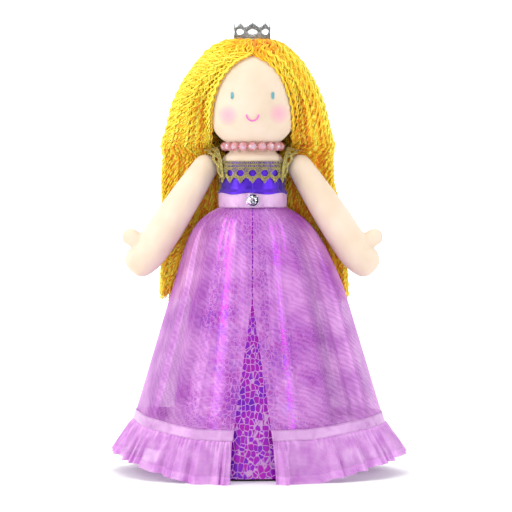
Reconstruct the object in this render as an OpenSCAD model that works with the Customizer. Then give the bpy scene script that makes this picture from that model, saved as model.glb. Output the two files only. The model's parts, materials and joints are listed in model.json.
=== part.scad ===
// Cloth princess doll in a long gown, with yarn hair, a lace crown and a bead necklace.
// The doll faces -Y, its own left is +X, and the skirt's hem stands on z = 0.
// Every stuffed piece is a sewn skin with its filling as a separate solid inside.

/* [Body] */
// Height of the waist ribbon's lower edge above the floor
waist_z = 178; // [160:0.1:213.6]
// Radius of the chest
chest_r = 20.6; // [18:0.1:24.7]
// Waist to the gown's neckline
bodice_h = 30.7; // [28:0.1:36]
// Radius of the neck
neck_r = 15; // [12.5:0.1:16.5]
// Radius of the head
head_r = 30; // [27:0.5:36]
// Head centre to the top of the head
head_top = 31.6; // [26:0.1:38]
// Head centre to the lowest point that the head's outline aims at
head_low = 35.5; // [30:0.1:42]
// Thickness of the skin cloth
skin_t = 0.8; // [0.6:0.1:1.2]

/* [Limbs] */
// Shoulder pivot to the end of the hand
arm_len = 86; // [70:1:100]
// Radius of the arm where it is sewn on
arm_root_r = 8.6; // [7:0.1:9]
// Radius of the hand and wrist
arm_r = 11.8; // [10:0.1:12.6]
// Angle of the arm outward from straight down
arm_out = 33; // [32:0.5:55]
// Radius of the thumb
thumb_r = 5.2; // [4:0.1:6]
// Hip pivot to the sole
leg_len = 130; // [100:1:140]
// Radius of the thigh
leg_r = 10; // [8:0.1:10.5]
// Length of the foot forward of the ankle
foot_len = 14; // [10:0.5:18]

/* [Gown] */
// Width of the satin waist ribbon
ribbon_w = 9.6; // [8:0.1:12]
// Thickness of the bodice and of the ribbons
cloth_t = 0.8; // [0.6:0.05:0.9]
// Thickness of the organza and of the foil cloth
sheer_t = 0.6; // [0.4:0.05:0.7]
// Height of the overskirt's hem above the floor at the front
hem_z = 28; // [22:0.5:36]
// How much higher that hem is at the sides
hem_rise = 6.6; // [2:0.1:10]
// How far the gathers stand out at the sides
puff_side = 19; // [14:0.5:24]
// How far the gathers stand out at the front and back
puff_front = 9; // [7:0.5:12]
// How much the overskirt widens at the sides per mm of height
flare_side = 0.305; // [0.25:0.005:0.36]
// How much the overskirt widens at the front and back per mm of height
flare_front = 0.21; // [0.19:0.005:0.26]
// Height where the overskirt's front slit starts
slit_z = 116; // [90:1:140]
// Width of the slit at the hem
slit_w = 26; // [16:1:34]
// How far the ruffle flares at the sides
ruffle_side = 14; // [8:0.5:18]
// How far the ruffle flares at the front and back
ruffle_front = 5; // [3:0.5:8]
// How high the ruffle's edge lifts at the sides
ruffle_rise = 13.5; // [8:0.5:20]
// Number of waves around the ruffle
ruffle_waves = 26; // [18:1:30]
// Depth of the ruffle's waves
ruffle_wave = 1.4; // [0.8:0.1:2]
// Width of the narrow hem ribbon
hem_ribbon_w = 6.2; // [5:0.1:8]
// Height of the foil underskirt's hem above the floor
under_hem_z = 6.4; // [5:0.1:12]
// How much the underskirt widens at the sides per mm of height
under_side = 0.165; // [0.14:0.005:0.19]
// How much the underskirt widens at the front and back per mm of height
under_front = 0.125; // [0.115:0.005:0.135]

/* [Trim] */
// Height of the gold lace on the bodice
lace_h = 13.2; // [10:0.1:16]
// Number of scallops around the bodice
lace_count = 17; // [14:1:20]
// Width of the lace straps over the shoulder
strap_w = 8.5; // [6:0.1:10]
// Height of the straps' top above the neckline
strap_h = 9; // [8.6:0.1:9.2]
// Diameter of a necklace bead
bead_d = 6; // [5:0.1:6.2]
// Diameter of the necklace's elastic thread
thread_d = 0.7; // [0.5:0.05:0.9]
// Radius of the jewel on the waist ribbon
jewel_r = 4; // [3:0.1:4.6]
// Outer radius of the lace crown
crown_r = 12.6; // [10:0.1:15]
// Height of the lace crown
crown_h = 12; // [9:0.1:15]
// Number of scallops around the crown
crown_count = 8; // [6:1:10]

/* [Hair] */
// Thickness of the yarn over the top of the head
hair_top_t = 2.6; // [2:0.1:4]
// Half the width of the hair at shoulder height
hair_half_w = 58.5; // [54:0.5:60]
// Height of the hair's ends above the floor
hair_end_z = 110; // [80:1:130]
// How far the hair stands off the back of the head
hair_back_t = 13; // [9:0.5:16]
// Width of the parting
parting_w = 1.6; // [1.4:0.1:2.4]

/* [Hidden] */
$fn = 64;

fit = 0.3;            // gap left between two pieces that don't slide on each other
filling_gap = 0.12;   // gap between a skin and its filling
skin_color = "#f3dfc4";
fill_color = "#f5f3ee";
hair_color = "#f7b61c";
gold_color = "#8d8148";
purple_color = "#4a1fb0";
organza_color = "#c77fd6";
ribbon_color = "#dcb3e4";

// Heights that follow from the driving sizes
belt_top = waist_z + ribbon_w;
neckline_z = waist_z + bodice_h;
bead_r = bead_d / 2;
ring_r = neck_r + bead_r + 0.9;
necklace_z = neckline_z + 9.6;
// The head's underside clears the tops of the beads and the shoulders on their inner side
low_power = 2.8;
function head_drop(r) = head_low * pow(1 - pow(min(1, r / head_r), low_power), 1 / low_power);
bead_room = max(bead_r + head_drop(ring_r), 0.75 * bead_r + head_drop(ring_r - 0.66 * bead_r));
cut_z = neckline_z + 10.4;              // the hair above it turns with the head
head_z = necklace_z + fit + bead_room;  // centre of the head
neck_top = necklace_z + 8.4;
hair_top = head_z + head_top + hair_top_t;

// Radii of the layers over the chest and waist
waist_skin_r = chest_r - 0.6;
under_top_r = waist_skin_r + 0.2 + sheer_t;
over_top_r = under_top_r + 0.1 + sheer_t;
belt_r = over_top_r + fit + cloth_t;
bodice_r = chest_r + fit + cloth_t;
trim_r = bodice_r + 0.2 + cloth_t;

// Shoulder and hip pivots
shoulder = [trim_r + 0.5 + arm_root_r, 0, neckline_z - 4.2];
seam_s = 0.58 * arm_root_r;             // the arm's open end lies this far behind the pivot
thigh_top_r = leg_r - 0.5;
torso_low = waist_z - 21.5;
hip = [thigh_top_r + 2.2, 0, torso_low - 1 - thigh_top_r];

// ---------- shapes that repeat ----------

// Closed solid between two grids of points that have the same rows and columns
module between(outer, inner) {
    rows = len(outer);
    cols = len(outer[0]);
    half = rows * cols;
    function at(r, c) = r * cols + c;
    function strip(a, b, c, d) = [[a, b, c], [a, c, d]];
    skins = [for (r = [0:rows - 2], c = [0:cols - 2])
        let (a = at(r, c), b = at(r, c + 1), d = at(r + 1, c), e = at(r + 1, c + 1))
        each concat(strip(a, b, e, d), strip(half + d, half + e, half + b, half + a))];
    ends = [for (c = [0:cols - 2]) each concat(
        strip(at(0, c + 1), at(0, c), half + at(0, c), half + at(0, c + 1)),
        strip(at(rows - 1, c), at(rows - 1, c + 1),
              half + at(rows - 1, c + 1), half + at(rows - 1, c)))];
    sides = [for (r = [0:rows - 2]) each concat(
        strip(at(r, 0), at(r + 1, 0), half + at(r + 1, 0), half + at(r, 0)),
        strip(at(r + 1, cols - 1), at(r, cols - 1),
              half + at(r, cols - 1), half + at(r + 1, cols - 1)))];
    points = [for (grid = [outer, inner], row = grid, p = row) p];
    polyhedron(points, concat(skins, ends, sides));
}

// Ring around the body's axis, from z0 to z1
module band(z0, z1, r_out, t) {
    translate([0, 0, z0]) difference() {
        cylinder(r = r_out, h = z1 - z0);
        translate([0, 0, -1]) cylinder(r = r_out - t, h = z1 - z0 + 2);
    }
}

// Hole through a ring of radius at, at an angle from the front
module radial_hole(angle, z, r, at) {
    rotate([0, 0, angle]) translate([0, 3 - at, z]) rotate([90, 0, 0]) cylinder(r = r, h = 6);
}

// Solid of revolution about Z from points of radius and height
module turned(points) {
    low = points[0][1];
    high = points[len(points) - 1][1];
    rotate_extrude() polygon(concat([[0, low]], points, [[0, high]]));
}

function clamp_low(x) = max(0, x);
function blend(a, b, t) = a + (b - a) * t;

// ---------- head ----------

// Radius of the head at height z, with its surface moved outward by off
function head_radius(z, off = 0) =
    let (up = z >= head_z, reach = (up ? head_top : head_low) + off,
         power = up ? 2.1 : low_power, t = min(1, abs(z - head_z) / reach))
    (head_r + off) * pow(1 - pow(t, power), 1 / power);

// Height on the head's lower side where its radius is r
function head_low_z(r, off = 0) =
    head_z - (head_low + off) * pow(1 - pow(min(1, r / (head_r + off)), low_power), 1 / low_power);

module head_body(off = 0) {
    low = head_low_z(neck_r + fit, off);
    high = head_z + head_top + off;
    turned([for (i = [0:28]) let (z = blend(low, high, (1 - cos(180 * i / 28)) / 2))
        [max(head_radius(z, off), i < 14 ? neck_r + fit : 0), z]]);
}

module head_skin() {
    color(skin_color) difference() {
        head_body();
        head_body(-skin_t);
        translate([0, 0, head_low_z(neck_r) - 3]) cylinder(r = neck_r + fit, h = 10);
    }
}

module head_stuffing() {
    color(fill_color) difference() {
        head_body(-skin_t - filling_gap);
        translate([0, 0, head_z - head_low - 1])
            cylinder(r = neck_r + fit + 0.1, h = neck_top - head_z + head_low + 1 + fit);
    }
}

// Thread laid on the face: the outline is drawn on the XZ plane
module on_face() {
    intersection() {
        difference() {
            head_body(0.65);
            head_body(0.06);
        }
        translate([0, -10, head_z]) rotate([90, 0, 0]) linear_extrude(head_r) children();
    }
}

eye_x = 13.5;
eye_w = 2;
eye_h = 4.5;
eye_up = -2;
module eye(side) {
    color("#4fa7ad") on_face() translate([side * eye_x, eye_up]) union() {
        square([eye_w, eye_h - eye_w], center = true);
        for (s = [-1, 1]) translate([0, s * (eye_h - eye_w) / 2]) circle(d = eye_w);
    }
}

smile_r = 4;
smile_w = 1.1;
smile_up = -14.6;
module mouth_stitch() {
    color("#e77fd0") on_face() translate([0, smile_up]) intersection() {
        difference() {
            circle(r = smile_r + smile_w / 2);
            circle(r = smile_r - smile_w / 2);
        }
        translate([-2 * smile_r, -2 * smile_r]) square([4 * smile_r, 2 * smile_r + 0.4]);
    }
}

// ---------- torso ----------

// Outline of the torso and neck as radius and height, moved inward by off
function torso_outline(off) = [
    [neck_r * 0.75 - off, torso_low + off], [waist_skin_r - 2.5 - off, torso_low + 1 + off],
    [waist_skin_r - 0.6 - off, torso_low + 4], [waist_skin_r - off, torso_low + 9],
    [waist_skin_r - off, belt_top + 1], [chest_r - off, belt_top + 8],
    [chest_r - off, neckline_z - 4], [chest_r - 0.5 - off, neckline_z],
    [blend(neck_r, chest_r, 0.7) - off, neckline_z + 3.3],
    [blend(neck_r, chest_r, 0.4) - off, neckline_z + 5.4],
    [neck_r - off, necklace_z - bead_r - 0.4], [neck_r - off, neck_top]
];

module torso_skin() {
    color(skin_color) difference() {
        turned(torso_outline(0));
        turned(torso_outline(skin_t));
        translate([0, 0, neckline_z]) cylinder(r = neck_r - skin_t, h = neck_top);
    }
}

module torso_stuffing() {
    color(fill_color) turned(torso_outline(skin_t + filling_gap));
}

// ---------- limbs ----------

// Radius of the arm at s along it from the shoulder pivot, moved inward by off
arm_swell = arm_len * 0.66;
function arm_radius(s, off) =
    s < 0 ? sqrt(clamp_low(pow(arm_root_r - off, 2) - s * s)) :
    s < arm_swell ? blend(arm_root_r, arm_r, sin(90 * s / arm_swell)) - off :
    (arm_r - off) * pow(clamp_low(1 - pow((s - arm_swell) / (arm_len - arm_swell - off), 2.4)), 1 / 2.4);

module arm_body(off) {
    root = [for (i = [1:5]) let (s = (arm_root_r - off) * -cos(18 * i)) [arm_radius(s, off), -s]];
    upper = [for (i = [0:6]) let (s = arm_swell * i / 6) [arm_radius(s, off), -s]];
    hand = [for (i = [1:8]) let (s = arm_swell + (arm_len - arm_swell - off) * sin(10 * i))
        [arm_radius(s, off), -s]];
    outline = concat(root, upper, hand);
    last = len(outline) - 1;
    turned([for (i = [0:last]) outline[last - i]]);
    thumb_z = -arm_len * 0.77;
    rounded_bar([arm_r - 7, 0, thumb_z], [arm_r + 4.7, 0, thumb_z], thumb_r - off);
}

// Bar from a to b with a round end at b
module rounded_bar(a, b, r) {
    d = b - a;
    translate(a) rotate([0, acos(d[2] / norm(d)), atan2(d[1], d[0])]) cylinder(r = r, h = norm(d));
    translate(b) sphere(r = r);
}

// Puts an arm that hangs from the origin in its place on the left shoulder
module at_shoulder() {
    translate(shoulder) rotate([0, -arm_out, 0]) children();
}

module open_end(from_s) {
    translate([-50, -50, from_s]) cube(100);
}

module arm_skin() {
    color(skin_color) at_shoulder() difference() {
        arm_body(0);
        arm_body(skin_t);
        open_end(seam_s);
    }
}

module arm_stuffing() {
    color(fill_color) at_shoulder() difference() {
        arm_body(skin_t + filling_gap);
        open_end(seam_s + 0.6);
    }
}

// Tack of thread that holds the arm to the chest: a ring of thread crossed by three stitches,
// small enough that the arm's open end swings round it
stitch_r = 0.35;
tack_r = 1.2;
module shoulder_stitches() {
    color("#e9cfae") at_shoulder() translate([0, 0, arm_root_r - 1.5 * stitch_r]) {
        rotate_extrude() translate([tack_r, 0]) circle(r = stitch_r, $fn = 24);
        for (i = [0:2]) rotate([0, 90, 60 * i])
            cylinder(r = stitch_r * 0.8, h = 2 * tack_r, center = true, $fn = 24);
    }
}

// Radius of the leg at s below the hip pivot, moved inward by off
ankle_r = 8.4;
foot_r = 8.2;
foot_s = leg_len - foot_r;
function leg_radius(s, off) =
    s < 0 ? sqrt(clamp_low(pow(thigh_top_r - off, 2) - s * s)) :
    s < leg_len * 0.35 ? blend(thigh_top_r, leg_r, sin(90 * s / (leg_len * 0.35))) - off :
    blend(leg_r, ankle_r, (s - leg_len * 0.35) / (foot_s - leg_len * 0.35)) - off;

module leg_body(off) {
    top = [for (i = [0:5]) let (s = (thigh_top_r - off) * -cos(18 * i)) [leg_radius(s, off), -s]];
    shin = [for (i = [1:8]) let (s = foot_s * i / 8) [leg_radius(s, off), -s]];
    heel_r = ankle_r - off;
    heel = [for (i = [1:4]) [heel_r * cos(20 * i), -foot_s - (heel_r - 0.5) * sin(20 * i)]];
    outline = concat(top, shin, heel);
    last = len(outline) - 1;
    turned([for (i = [0:last]) outline[last - i]]);
    rounded_bar([0, -2, -foot_s], [0, -foot_len, -foot_s], foot_r - off);
}

module leg_skin() {
    color(skin_color) translate(hip) difference() {
        leg_body(0);
        leg_body(skin_t);
        open_end(thigh_top_r * 0.8);
    }
}

module leg_stuffing() {
    color(fill_color) translate(hip) difference() {
        leg_body(skin_t + filling_gap);
        open_end(thigh_top_r * 0.8 + 0.4);
    }
}

// ---------- bodice, belt and lace ----------

// The bodice's lower edge laps over the ribbon and clears the jewel
lip_h = 1.8;
jewel_z = waist_z + ribbon_w / 2;
module bodice() {
    lip_r = belt_r + fit + cloth_t;
    color(purple_color) difference() {
        union() {
            band(belt_top + 0.3, neckline_z, bodice_r, cloth_t);
            band(belt_top + 0.3, belt_top + 1.2, lip_r, lip_r - bodice_r + cloth_t);
            band(belt_top - lip_h, belt_top + 1.2, lip_r, cloth_t);
        }
        translate([0, -belt_r + 2, jewel_z]) rotate([90, 0, 0]) cylinder(r = jewel_r + fit, h = 6);
    }
}

module bodice_lace() {
    step = 360 / lace_count;
    pitch = 2 * PI * trim_r / lace_count;
    color(gold_color) difference() {
        band(neckline_z - 0.3 - lace_h, neckline_z - 0.3, trim_r, cloth_t);
        for (i = [0:lace_count - 1]) {
            radial_hole(step * i, neckline_z - 0.6 * lace_h, pitch * 0.25, trim_r);
            radial_hole(step * (i + 0.5), neckline_z - 0.3 - lace_h, pitch * 0.37, trim_r);
        }
    }
}

// Lace strap on the doll's left: t runs from its front foot over the shoulder to its back foot,
// w runs across it from the neck's side outward
strap_steps = 22;
strap_foot_r = trim_r + 0.2;
strap_in = max(ring_r + bead_r + 2, strap_foot_r + 1);
function strap_point(t, w, lift) =
    let (s = 1 - abs(t), side = blend(blend(56, 70, w), 90, s * s),
         theta = t < 0 ? side : 180 - side,
         r = blend(strap_foot_r, strap_in + w * strap_w, s) + lift * cos(90 * s),
         foot = neckline_z - 11, top = neckline_z + strap_h - w * 0.28 * strap_w)
    [r * sin(theta), -r * cos(theta), blend(foot, top, sin(90 * s)) + lift * sin(90 * s)];
module lace_strap() {
    rows = [for (i = [0:strap_steps]) 2 * i / strap_steps - 1];
    across = [0, 0.33, 0.67, 1];
    color(gold_color) between(
        [for (t = rows) [for (w = across) strap_point(t, w, cloth_t)]],
        [for (t = rows) [for (w = across) strap_point(t, w, 0)]]);
}

module waist_ribbon() {
    color(ribbon_color) band(waist_z, belt_top, belt_r, cloth_t);
}

module ribbon_jewel() {
    dome_r = jewel_r * 1.25;
    sunk = sqrt(dome_r * dome_r - jewel_r * jewel_r);
    color("#c9c9d2") translate([0, -belt_r - 0.05, jewel_z]) rotate([90, 0, 0]) {
        cylinder(r = jewel_r, h = 0.8);
        intersection() {
            translate([0, 0, 0.8 - sunk]) sphere(r = dome_r);
            translate([0, 0, 0.7]) cylinder(r = jewel_r, h = jewel_r);
        }
    }
}

// ---------- skirts ----------

skirt_cols = 56;
skirt_rows = 9;
puff_h = 10;
rest_share = 0.3;    // the hem lies on the floor where it is nearer the middle than this
function side_lift(theta) = clamp_low((abs(sin(theta)) - rest_share) / (1 - rest_share));

// Half width (a) and half depth (b) of a skirt at h below the waist: a puff, then an even flare
function flared(top_r, puff, flare, h) = top_r + puff * (1 - exp(-h / puff_h)) + flare * h;
function over_a(h) = flared(over_top_r, puff_side, flare_side, clamp_low(h));
function over_b(h) = flared(over_top_r, puff_front, flare_front, clamp_low(h));
function under_a(h) = flared(under_top_r, puff_side * 0.5, under_side, clamp_low(h));
function under_b(h) = flared(under_top_r, puff_front * 0.7, under_front, clamp_low(h));

// Point at an angle from the front on an ellipse
function around(a, b, theta, z) = [a * sin(theta), -b * cos(theta), z];

// Angle from the front where the slit's edge lies at height z
slit_gap = 0.8;
function slit_angle(z, a) =
    asin((slit_gap + (slit_w - slit_gap) * clamp_low(slit_z - z) / (slit_z - hem_z)) / 2 / a);
function hem_height(theta) = hem_z + hem_rise * side_lift(theta);

// Point on the overskirt: u runs round from one edge of the slit to the other
function over_point(u, z, off) =
    let (h = waist_z - z, a = over_a(h) + off, start = slit_angle(z, a),
         theta = blend(start, 360 - start, u))
    around(a, over_b(h) + off, theta, z);

// Height of row j of a skirt: its top edge, the waist, then rows that spread towards its hem
skirt_top = belt_top - 0.4;
function row_z(j, hem) = j == 0 ? skirt_top : blend(waist_z, hem, pow((j - 1) / (skirt_rows - 1), 1.5));
function theta_at(u) = 360 * u;

module overskirt() {
    us = [for (i = [0:skirt_cols]) i / skirt_cols];
    function layer(off) = [for (j = [0:skirt_rows])
        [for (u = us) over_point(u, row_z(j, hem_height(theta_at(u))), off)]];
    color(organza_color, 0.6) between(layer(0), layer(-sheer_t));
}

module hem_ribbon() {
    us = [for (i = [0:skirt_cols]) i / skirt_cols];
    lows = [0.3, 0.3 + hem_ribbon_w];
    color(ribbon_color) between(
        [for (up = [lows[1], lows[0]])
            [for (u = us) over_point(u, hem_height(theta_at(u)) + up, fit + sheer_t)]],
        [for (up = [lows[1], lows[0]])
            [for (u = us) over_point(u, hem_height(theta_at(u)) + up, fit)]]);
}

// Point on the ruffle: w runs from its gathered top to its free edge
function ruffle_point(u, w, off) =
    let (theta0 = theta_at(u), top = hem_height(theta0) - fit, h = waist_z - top,
         wave = ruffle_wave * w * cos(ruffle_waves * theta0),
         a = over_a(h) + ruffle_side * w + wave + off,
         b = over_b(h) + ruffle_front * w + wave + off,
         z = blend(top, ruffle_rise * side_lift(theta0), w),
         start = slit_angle(top, over_a(h)), theta = blend(start, 360 - start, u))
    around(a, theta > 90 && theta < 270 ? b * cos(start) : b, theta, z);

ruffle_cols = ruffle_waves * 6;
module hem_ruffle() {
    us = [for (i = [0:ruffle_cols]) i / ruffle_cols];
    ws = [0, 0.3, 1];
    color(organza_color, 0.6) between(
        [for (w = ws) [for (u = us) ruffle_point(u, w, 0)]],
        [for (w = ws) [for (u = us) ruffle_point(u, w, -sheer_t)]]);
}

// The foil underskirt closes in a seam at the back
function under_point(u, z, off) =
    let (h = waist_z - z, a = under_a(h) + off, edge = asin(slit_gap / 4 / a))
    around(a, under_b(h) + off, blend(180 + edge, 540 - edge, u), z);

module underskirt() {
    us = [for (i = [0:skirt_cols - 8]) i / (skirt_cols - 8)];
    function layer(off) = [for (j = [0:skirt_rows])
        [for (u = us) under_point(u, row_z(j, under_hem_z), off)]];
    color("#8a12c8") between(layer(0), layer(-sheer_t));
}

// ---------- necklace and crown ----------

bead_gap = 0.2;
bead_count = floor(180 / asin((bead_d + bead_gap) / 2 / ring_r));
module necklace_beads() {
    color("#f49aa6") translate([0, 0, necklace_z]) for (i = [0:bead_count - 1])
        rotate([0, 0, 360 * i / bead_count]) translate([0, -ring_r, 0]) rotate([0, 90, 0]) difference() {
            sphere(r = bead_r);
            cylinder(r = thread_d / 2 + 0.15, h = 2 * bead_d, center = true);
        }
}

module necklace_thread() {
    color("#f7d4da") translate([0, 0, necklace_z])
        rotate_extrude() translate([ring_r, 0]) circle(r = thread_d / 2);
}

crown_z = hair_top + 0.2;
module crown_lace() {
    step = 360 / crown_count;
    pitch = 2 * PI * crown_r / crown_count;
    color("#9aa3ab") translate([0, 0, crown_z]) difference() {
        cylinder(r = crown_r, h = crown_h);
        translate([0, 0, -1]) cylinder(r = crown_r - cloth_t, h = crown_h + 2);
        for (i = [0:crown_count - 1]) {
            radial_hole(step * i, crown_h * 0.54, pitch * 0.26, crown_r);
            radial_hole(step * (i + 0.5), crown_h * 1.04, pitch * 0.3, crown_r);
        }
    }
}

// ---------- hair ----------

// Outer outline of the hair on the head: height above the head's centre, how much wider than the
// head, front depth, back depth, and where the middle of its depth lies
hair_low = cut_z - head_z;
hair_rings = [
    [head_top + hair_top_t, -11, 17, 17, 2.5],
    [head_top + hair_top_t - 1.4, -8, 21, 21, 3],
    [head_top - 2.8, -2, 25, 25, 4],
    [head_top - 9.6, 4, 29, 29 + 0.1 * hair_back_t, 4.5],
    [head_top - 17.6, 9.5, 32, 30 + 0.2 * hair_back_t, 5.5],
    [head_top - 25.6, 15, 33, 30 + 0.3 * hair_back_t, 6],
    [-7, 21, 32, 30 + 0.4 * hair_back_t, 8],
    [-18, 24, 28, 30 + 0.4 * hair_back_t, 9],
    [-26, 26, 20, 30 + 0.4 * hair_back_t, 9.5],
    [-30.5, 27.5, 12, 29.5 + 0.4 * hair_back_t, 10],
    [hair_low, hair_half_w - head_r, 5, 29 + 0.4 * hair_back_t, 10]
];

// Half width of the face opening at a height above the head's centre
face_w = 27;
face_top = 28;
face_base = -26;
function face_half(up) =
    let (rise = clamp_low((up - face_base) / (face_top - face_base)))
    max(parting_w / 2, up >= face_top ? 0 : face_w * sqrt(clamp_low(1 - rise * rise)));

hair_cols = 16;
hair_inner_gap = 0.8;
function hair_ring_point(ring, half, u) =
    let (edge = asin(min(1, half / (head_r + ring[1]))), back = asin(parting_w / 2 / (head_r + ring[1])),
         theta = blend(edge, 180 - back, u))
    [(head_r + ring[1]) * sin(theta), ring[4] - (theta < 90 ? ring[2] : ring[3]) * cos(theta),
     head_z + ring[0]];
function hair_inside(ring, half, u) =
    let (over_beads = ring[0] < -29 ? ring_r + bead_r + 0.8 : parting_w / 2 + 1.6,
         r = max(over_beads, head_radius(head_z + min(ring[0], head_top - 0.05), hair_inner_gap)),
         edge = asin(min(1, half / r)), back = asin(parting_w / 2 / r), theta = blend(edge, 180 - back, u))
    [r * sin(theta), -r * cos(theta), head_z + min(ring[0], head_top + hair_inner_gap + 0.2)];

module hair_top() {
    us = [for (i = [0:hair_cols]) i / hair_cols];
    color(hair_color) mirror([1, 0, 0]) between(
        [for (ring = hair_rings) [for (u = us) let (p = hair_ring_point(ring, face_half(ring[0]), u))
            [-p[0], p[1], p[2]]]],
        [for (ring = hair_rings) [for (u = us) let (p = hair_inside(ring, face_half(ring[0]), u))
            [-p[0], p[1], p[2]]]]);
}

// The long hair lies behind the arms, over the back of the bodice and the skirt
arm_clear = arm_r + 0.9;
function ellipse_y(x, a, b) = abs(x) >= a ? 0 : b * sqrt(1 - x * x / (a * a));
function fall_half_w(z) = blend(hair_half_w + 5, hair_half_w, (z - hair_end_z) / (cut_z - hair_end_z));
function fall_front(x, z) =
    let (h = waist_z - z,
         body = z > belt_top + 1.5 ? ellipse_y(x, trim_r + cloth_t + 2 * fit, trim_r + cloth_t + 2 * fit) :
                ellipse_y(x, belt_r + cloth_t + 2 * fit, belt_r + cloth_t + 2 * fit),
         skirt = z > waist_z ? 0 : ellipse_y(x, over_a(h) + 2 * fit, over_b(h) + 2 * fit))
    max(arm_clear, body, skirt);
function fall_back(x, z) =
    let (mid = max(39 + 0.4 * hair_back_t, over_b(waist_z - z) + hair_back_t), edge = arm_clear + 3)
    max(edge + (mid - edge) * sqrt(clamp_low(1 - pow(x / fall_half_w(z), 2))), fall_front(x, z) + 2.5);

fall_cols = 14;
fall_rows = 16;
fall_top_rows = 4;
// Rows stand closer together under the waist, where the skirt flares most
function fall_z(j) = j < fall_top_rows ? blend(cut_z - 0.4, waist_z, j / fall_top_rows) :
    blend(waist_z, hair_end_z, pow((j - fall_top_rows) / (fall_rows - fall_top_rows), 1.5));
// x0 and x1 are shares of the hair's half width
module hair_fall(x0, x1) {
    xs = [for (i = [0:fall_cols]) blend(x0, x1, i / fall_cols)];
    zs = [for (j = [0:fall_rows]) fall_z(j)];
    color(hair_color) between(
        [for (z = zs) [for (x = xs) let (px = x * fall_half_w(z)) [px, fall_front(px, z), z]]],
        [for (z = zs) [for (x = xs) let (px = x * fall_half_w(z)) [px, fall_back(px, z), z]]]);
}

// Backstitch that holds the yarn down along the parting: angle is from the top of the head backward
function parting_point(angle, x, off) =
    let (z = head_z + (head_top + off) * cos(angle))
    [x, sign(angle) * head_radius(z, off), z];
module parting_stitch() {
    half = parting_w / 2 - 0.2;
    lift = 0.25;
    angles = [for (i = [0:24]) blend(-40, 110, i / 24)];
    function layer(off) = [for (angle = angles) [for (x = [-half, half]) parting_point(angle, x, off)]];
    color("#ffd84a") between(layer(lift), layer(lift + 2 * half));
}

module mirrored() {
    mirror([1, 0, 0]) children();
}

torso_skin();
torso_stuffing();
head_skin();
head_stuffing();
eye(1);  // left_eye
eye(-1);  // right_eye
mouth_stitch();
arm_skin();  // left_arm_skin
arm_stuffing();  // left_arm_stuffing
shoulder_stitches();  // left_shoulder_stitches
mirrored() arm_skin();  // right_arm_skin
mirrored() arm_stuffing();  // right_arm_stuffing
mirrored() shoulder_stitches();  // right_shoulder_stitches
leg_skin();  // left_leg_skin
leg_stuffing();  // left_leg_stuffing
mirrored() leg_skin();  // right_leg_skin
mirrored() leg_stuffing();  // right_leg_stuffing
bodice();
bodice_lace();
lace_strap();  // left_lace_strap
mirrored() lace_strap();  // right_lace_strap
waist_ribbon();
ribbon_jewel();
underskirt();
overskirt();
hem_ribbon();
hem_ruffle();
necklace_beads();
necklace_thread();
crown_lace();
parting_stitch();
hair_top();  // hair_left_top
mirrored() hair_top();  // hair_right_top
hair_fall(0.345, 1);  // hair_left_fall
mirrored() hair_fall(0.345, 1);  // hair_right_fall
hair_fall(-0.335, 0.335);  // hair_back_fall
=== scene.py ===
import json

import bpy
import numpy as np
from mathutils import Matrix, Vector
from numpy import arange, array, clip, concatenate, cos, exp, linspace
from numpy import maximum, pi, radians, sin, sqrt, stack, where


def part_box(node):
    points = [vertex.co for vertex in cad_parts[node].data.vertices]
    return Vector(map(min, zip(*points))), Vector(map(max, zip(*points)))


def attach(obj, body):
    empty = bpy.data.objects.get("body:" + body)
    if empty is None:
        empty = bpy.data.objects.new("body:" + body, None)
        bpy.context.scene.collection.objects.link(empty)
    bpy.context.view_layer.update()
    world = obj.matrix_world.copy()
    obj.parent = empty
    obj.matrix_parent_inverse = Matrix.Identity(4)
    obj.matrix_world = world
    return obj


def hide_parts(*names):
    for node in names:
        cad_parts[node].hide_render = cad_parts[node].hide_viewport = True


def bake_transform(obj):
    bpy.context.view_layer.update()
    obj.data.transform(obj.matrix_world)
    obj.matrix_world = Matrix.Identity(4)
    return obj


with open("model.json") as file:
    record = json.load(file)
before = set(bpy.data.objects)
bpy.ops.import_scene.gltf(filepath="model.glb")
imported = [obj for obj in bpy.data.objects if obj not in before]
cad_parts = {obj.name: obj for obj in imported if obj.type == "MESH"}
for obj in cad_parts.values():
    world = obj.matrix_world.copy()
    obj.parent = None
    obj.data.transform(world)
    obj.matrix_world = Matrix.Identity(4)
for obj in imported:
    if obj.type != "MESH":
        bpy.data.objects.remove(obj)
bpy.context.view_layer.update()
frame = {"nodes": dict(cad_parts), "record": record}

# Lengths below are millimetres; a piece is scaled to metres when its mesh is made.
MM = 0.001
TAU = 2 * pi


# ---------- sizes read from the frame ----------

def box_mm(node):
    """Lowest and highest corner of a CAD node in millimetres."""
    low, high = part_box(node)
    return array(low) / MM, array(high) / MM


def joint_place(name):
    """A joint's pivot in millimetres."""
    joints = {joint["name"]: joint["pos_m"] for joint in frame["record"]["behaviour"]["joints"]}
    return array(joints[name]) / MM


belt_low, belt_high = box_mm("waist_ribbon")
WAIST_Z, BELT_TOP, BELT_R = belt_low[2], belt_high[2], belt_high[0]
NECKLINE_Z = box_mm("bodice")[1][2]
TRIM_R = box_mm("bodice_lace")[1][0]
beads_low, beads_high = box_mm("necklace_beads")
NECKLACE_Z = (beads_low[2] + beads_high[2]) / 2
BEAD_R = (beads_high[2] - beads_low[2]) / 2
RING_R = beads_high[0] - BEAD_R
NECK_R = RING_R - BEAD_R - 0.9
NECK_TOP = NECKLACE_Z + 8.4
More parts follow.
